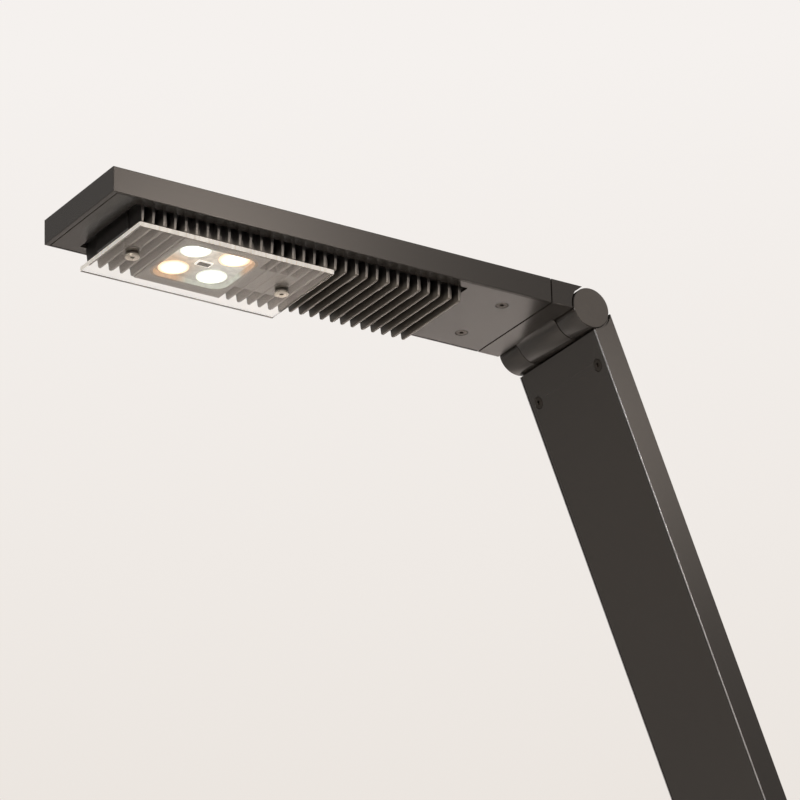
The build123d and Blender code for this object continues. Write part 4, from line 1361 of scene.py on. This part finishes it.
def build_base() -> None:
    """Dresses everything else: turret, housing, pad, what is inside them, hinge parts, boards and leads."""
    dress("turret base_housing", CAST_COAT)
    dress("base_pad", RUBBER)
    dress("ballast_weight", IRON)
    dress("elbow_axle elbow_nut shoulder_axle shoulder_nut swivel_spindle swivel_nut", BRIGHT_STEEL)
    dress("swivel_washer swivel_stop_pin base_plate", BRIGHT_STEEL)
    dress("base_plate_screws", BLACK_STEEL)
    dress("elbow_washers shoulder_washers swivel_bush swivel_glide_ring tactile_switches dc_inlet", NYLON)
    dress("led_board", WHITE_BOARD)
    dress("control_board driver_board", GREEN_BOARD)
    dress("head_leads arm_leads base_leads", INSULATION)
    dress("cool_leds", COOL_EMITTER)
    dress("warm_leds", WARM_EMITTER)
    for mark in Mark:
        dress(f"{mark.value}_button", BUTTON_PLASTIC)
        ButtonMark(Matrix.Scale(MM, 4), mark).build()


# ---------------- stage, camera
@dataclass
class Softbox:
    """A square studio lamp."""

    name: str
    at: Point
    aim: Point
    size: float
    power: float
    colour: str
    spread: float = 180.0

    def build(self) -> bpy.types.Object:
        """Hangs the lamp, points it and returns it."""
        data = bpy.data.lights.new(self.name, "AREA")
        data.shape = "RECTANGLE"
        data.size = data.size_y = self.size
        data.energy = self.power
        data.spread = math.radians(self.spread)
        data.color = linear(self.colour)[:3]
        lamp = bpy.data.objects.new(self.name, data)
        lamp.location = self.at
        lamp.rotation_mode = "QUATERNION"
        lamp.rotation_quaternion = (Vector(self.at) - Vector(self.aim)).to_track_quat("Z", "Y")
        bpy.context.scene.collection.objects.link(lamp)
        return lamp


@dataclass
class Studio:
    """A pale floor, a pale surround and soft lamps."""

    floor_size: float = 10.0
    floor_drop: float = 0.0004
    ambient: float = 0.33
    # How steeply the eye looks up where the surround turns paler, and where gloss finds it full.
    pale_rise: Span = (0.33, 0.47)
    full_rise: Span = (0.6, 0.95)
    lamps: tuple[Softbox, ...] = (
        Softbox("side_softbox", (0.436, -1.55, 0.865), (-0.25, 0.0, 0.4), 0.2, 3.8, "ffefe1"),
        Softbox("edge_light", (-1.76, -1.41, 0.55), (-0.09, 0.0, 0.4), 0.5, 11.0, "fff6ee"),
        Softbox("overhead_softbox", (0.62, 0.86, 1.4), (0.62, 0.86, 0.0), 0.5, 4.3, "fff4ef", 60.0),
    )

    def build_floor(self) -> None:
        """Lays the floor just under the pad."""
        half = self.floor_size / 2
        corners = [(-half, -half), (half, -half), (half, half), (-half, half)]
        data = bpy.data.meshes.new("studio_floor")
        data.from_pydata([(x, y, -self.floor_drop) for x, y in corners], [], [(0, 1, 2, 3)])
        data.materials.append(FloorSheet("studio_floor_sheet").material())
        floor = bpy.data.objects.new("studio_floor", data)
        bpy.context.scene.collection.objects.link(floor)

    def build_surround(self) -> None:
        """Makes the surround: pale to the eye, and softer as a light."""
        world = bpy.data.worlds.new("studio_surround")
        world.use_nodes = True
        world.node_tree.nodes.clear()
        nodes = Nodes(world.node_tree)
        path = nodes.add("LightPath")
        rise = nodes.parts(nodes.add("TexCoord")["Generated"])["Z"]
        pale = nodes.blend(nodes.ramp(rise, self.pale_rise), "ebe5df", "f5f1ee")
        # Gloss sees the same pale surround, which is full overhead and falls off into the room at its sides.
        level = nodes.ramp(rise, self.full_rise, (self.ambient, 1.0), SMOOTH)
        looks = ((pale, 1.0), (linear("fffaf6"), self.ambient), (pale, level))
        eye, soft, sheen = (nodes.add("Background", {0: colour, 1: level})[0] for colour, level in looks)
        lit = nodes.mix(path["Is Glossy Ray"], soft, sheen)
        nodes.add("OutputWorld", {"Surface": nodes.mix(nodes.seen(path), lit, eye)})
        bpy.context.scene.world = world

    def build(self) -> None:
        """Builds the stage and the lamps."""
        self.build_floor()
        self.build_surround()
        for lamp in self.lamps:
            lamp.build()
        bpy.context.scene.view_settings.view_transform = "Standard"


@dataclass
class View:
    """The camera: a long lens below the lamp's near side, looking up at the head's underside."""

    at: Point = (-1.7764, -2.3673, -0.9359)
    right: Point = (0.84049, -0.54108, -0.02836)
    up: Point = (-0.20070, -0.35953, 0.91129)
    lens_mm: float = 230.4
    sensor_mm: float = 36.0

    def build(self) -> None:
        """Sets up the scene's camera."""
        data = bpy.data.cameras.new("view")
        data.lens, data.sensor_width = self.lens_mm, self.sensor_mm
        data.clip_end = 100.0
        right, up = Vector(self.right), Vector(self.up)
        turn = Matrix((right, up, right.cross(up))).transposed().to_4x4()
        camera = bpy.data.objects.new("view", data)
        camera.matrix_world = Matrix.Translation(self.at) @ turn
        bpy.context.scene.collection.objects.link(camera)
        bpy.context.scene.camera = camera


def main() -> None:
    """Loads the frame and builds the lamp's looks, the stage and the camera."""
    logging.basicConfig(level=logging.INFO, format="%(name)s: %(message)s")
    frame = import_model()
    places = Places(frame["joints"])
    View().build()
    for part in (Cooler, LightSource, GlarePlate):
        part(places.head()).build()
    Bars(places).build()
    build_base()
    Studio().build()


if __name__ == "__main__":
    main()
